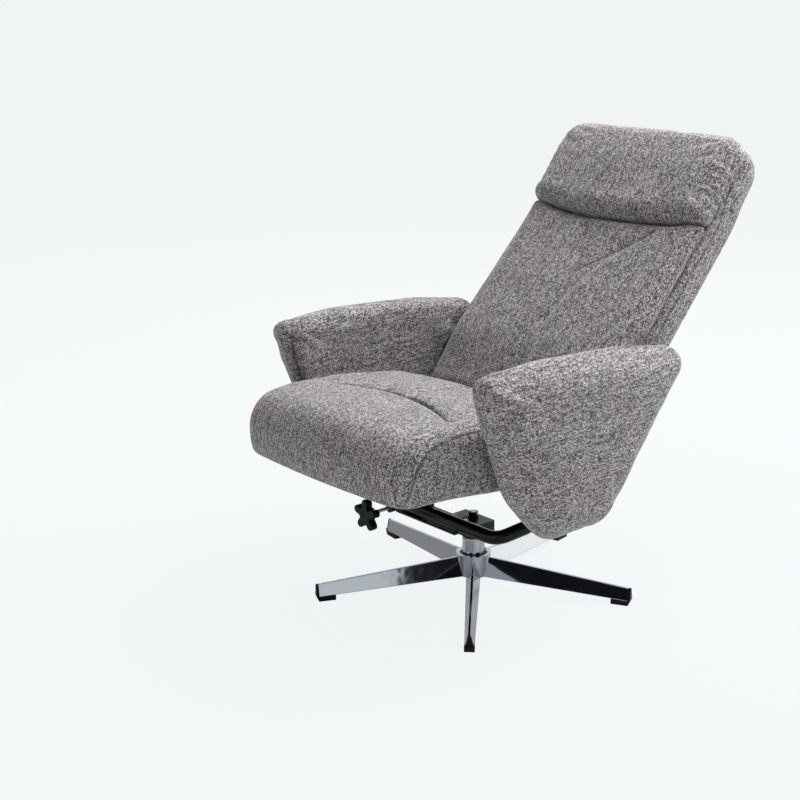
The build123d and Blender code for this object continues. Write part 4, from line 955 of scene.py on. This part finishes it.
class RECLINER_OT_studio(bpy.types.Operator):
    """Sets the camera, the pale floor and the soft lamps."""

    bl_idname = "recliner.studio"
    bl_label = "Studio"

    def execute(self, context):
        studio = settings().studio
        scene = context.scene
        scene.view_settings.view_transform = "Standard"
        lens = bpy.data.cameras.new("camera")
        lens.sensor_width, lens.lens = 36.0, studio.camera_lens
        camera = bpy.data.objects.new("camera", lens)
        camera.location = studio.camera_place
        camera.rotation_euler = studio.camera_turn
        scene.collection.objects.link(camera)
        scene.camera = camera
        self.floor(studio)
        self.surroundings(scene, studio)
        cards = {
            "felt": self.card_material("Black felt card", "ShaderNodeBsdfDiffuse", "#1d2026"),
            # the grey and white cards are emissions that paint reflections of shadow and of light into the chrome
            "grey": self.card_material("Grey card, painted reflection of floor shadow", "ShaderNodeEmission", "#b0aeac"),
            "white": self.card_material("White paper card", "ShaderNodeEmission", "#fffdf8", Strength=1.7),
        }
        for name, material, *measures in CARDS:
            self.card(name, cards[material], *measures)
        self.lamp("overhead", (0.4, 1.7, 3.0), (0.0, 0.0, 0.45), 3.0, studio.key_power)
        self.lamp("front", (-0.4, -3.8, 1.9), (0.0, 0.0, 0.5), 2.6, studio.fill_power)
        return {"FINISHED"}

    def floor(self, studio):
        """A floor out to the horizon that keeps a trace of the chair's shadow."""
        deselect()
        bpy.ops.mesh.primitive_plane_add(size=FLOOR_SIZE, location=(0, 0, 0))
        floor = bpy.context.object
        floor.name = "floor"
        material, tree = new_material("Matt studio floor, pale")
        matt = add_node(tree, "ShaderNodeBsdfDiffuse", {"Color": linear(studio.floor), "Roughness": 1.0})
        pale = add_node(tree, "ShaderNodeEmission", {"Color": linear(studio.sky), "Strength": 1.0})
        path = add_node(tree, "ShaderNodeLightPath")
        mirrored = add_node(
            tree, "ShaderNodeMath", links={0: path.outputs["Is Glossy Ray"], 1: path.outputs["Is Transmission Ray"]},
            operation="MAXIMUM",
        )
        # mirrors show more of the floor's shadow than the camera does
        mirrored = add_node(
            tree, "ShaderNodeMath", {1: MIRRORED_SHARE}, {0: mirrored.outputs[0]}, operation="MULTIPLY",
        )
        shown = add_node(
            tree, "ShaderNodeMath", links={0: path.outputs["Is Camera Ray"], 1: mirrored.outputs[0]},
            operation="MAXIMUM",
        )
        share = add_node(
            tree, "ShaderNodeMath", {1: studio.floor_paleness}, {0: shown.outputs[0]}, operation="MULTIPLY",
        )
        shader = add_node(
            tree, "ShaderNodeMixShader", links={0: share.outputs[0], 1: matt.outputs[0], 2: pale.outputs[0]},
        )
        close_material(tree, shader)
        floor.data.materials.append(material)

    def shown_ray(self, tree):
        """1 for a ray that comes from the camera, or from it by way of metal or glass."""
        path = add_node(tree, "ShaderNodeLightPath")
        seen = add_node(
            tree, "ShaderNodeMath", links={0: path.outputs["Is Camera Ray"], 1: path.outputs["Is Glossy Ray"]},
            operation="MAXIMUM",
        )
        both = add_node(
            tree, "ShaderNodeMath", links={0: seen.outputs[0], 1: path.outputs["Is Transmission Ray"]},
            operation="MAXIMUM",
        )
        return both.outputs[0]

    def card_material(self, name, kind, code, **values):
        """A plain card: diffuse, or an even emission that paints a reflection of shadow or light into the chrome."""
        material, tree = new_material(name)
        close_material(tree, add_node(tree, kind, {"Color": linear(code), **values}))
        return material

    def card(self, name, material, start, end, radius, low, high):
        """A curved card between two angles in degrees, which only mirror surfaces show."""
        deselect()
        bpy.ops.mesh.primitive_cylinder_add(
            vertices=360, radius=radius, depth=high - low, end_fill_type="NOTHING",
            location=(0, 0, (low + high) / 2),
        )
        card = bpy.context.object
        card.name = name
        bpy.ops.object.transform_apply(location=True)
        shape = bmesh.new()
        shape.from_mesh(card.data)
        away = []
        for face in shape.faces:
            middle = face.calc_center_median()
            if not start < math.degrees(math.atan2(middle.y, middle.x)) < end:
                away.append(face)
        bmesh.ops.delete(shape, geom=away, context="FACES")
        shape.to_mesh(card.data)
        shape.free()
        card.data.materials.append(material)
        card.visible_camera = card.visible_diffuse = card.visible_shadow = card.visible_transmission = False

    def surroundings(self, scene, studio):
        """A soft light from all round, which the camera and mirrors show as a plain pale backdrop."""
        world = bpy.data.worlds.new("studio")
        scene.world = world
        world.use_nodes = True
        tree = world.node_tree
        tree.nodes.clear()
        shown = self.shown_ray(tree)
        light = add_node(
            tree, "ShaderNodeBackground", {"Color": (1, 1, 1, 1), "Strength": studio.sky_light},
        )
        view = add_node(tree, "ShaderNodeBackground", {"Color": linear(studio.sky), "Strength": 1.0})
        mixed = add_node(
            tree, "ShaderNodeMixShader", links={0: shown, 1: light.outputs[0], 2: view.outputs[0]},
        )
        add_node(tree, "ShaderNodeOutputWorld", links={"Surface": mixed.outputs[0]})

    def lamp(self, name, place, target, size, power):
        """A round soft lamp that points at a target."""
        data = bpy.data.lights.new(name, "AREA")
        data.shape, data.size, data.energy = "DISK", size, power
        lamp = bpy.data.objects.new(name, data)
        lamp.location = place
        lamp.rotation_euler = (Vector(target) - Vector(place)).to_track_quat("-Z", "Y").to_euler()
        bpy.context.scene.collection.objects.link(lamp)


# ---------------------------------------------------------------- add-on

class ReclinerSettings(bpy.types.PropertyGroup):
    """All settings of the recliner."""

    cushion: PointerProperty(type=ReclinerCushionSettings, name="Cushions", description="Stuffing and seams")
    cloth: PointerProperty(type=ReclinerClothSettings, name="Cloth", description="Woven cover")
    metal: PointerProperty(type=ReclinerMetalSettings, name="Hard parts", description="Colours of the hard parts")
    studio: PointerProperty(type=ReclinerStudioSettings, name="Studio", description="Camera, floor and lamps")


OPERATORS = [RECLINER_OT_seat, RECLINER_OT_back, RECLINER_OT_arms, RECLINER_OT_finishes, RECLINER_OT_studio]


class RECLINER_PT_panel(bpy.types.Panel):
    """Lists the recliner's settings and steps."""

    bl_label = "Recliner"
    bl_idname = "RECLINER_PT_panel"
    bl_space_type = "VIEW_3D"
    bl_region_type = "UI"
    bl_category = "Recliner"

    def draw(self, context):
        for group in ("cushion", "cloth", "metal", "studio"):
            box = self.layout.box()
            owner = getattr(context.scene.recliner, group)
            for name in owner.bl_rna.properties.keys():
                if name not in ("rna_type", "name"):
                    box.prop(owner, name)
        for operator in OPERATORS:
            self.layout.operator(operator.bl_idname)


CLASSES = [
    ReclinerCushionSettings, ReclinerClothSettings, ReclinerMetalSettings, ReclinerStudioSettings,
    ReclinerSettings, *OPERATORS, RECLINER_PT_panel,
]


def register():
    """Adds the settings, the operators and the panel."""
    for cls in CLASSES:
        bpy.utils.register_class(cls)
    bpy.types.Scene.recliner = PointerProperty(type=ReclinerSettings)


def unregister():
    """Takes them out again."""
    del bpy.types.Scene.recliner
    for cls in reversed(CLASSES):
        bpy.utils.unregister_class(cls)


def clear_start_file():
    """Removes the start file's own objects, which are not the frame's."""
    kept = set(frame["nodes"].values()) | set(frame["bodies"].values())
    for other in [o for o in bpy.data.objects if o not in kept]:
        bpy.data.objects.remove(other)


def main():
    """Dresses the frame."""
    clear_start_file()
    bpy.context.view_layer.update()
    register()
    bpy.ops.recliner.finishes()
    bpy.ops.recliner.studio()
    bpy.ops.recliner.seat()
    bpy.ops.recliner.back()
    bpy.ops.recliner.arms()


if __name__ == "__main__":
    main()
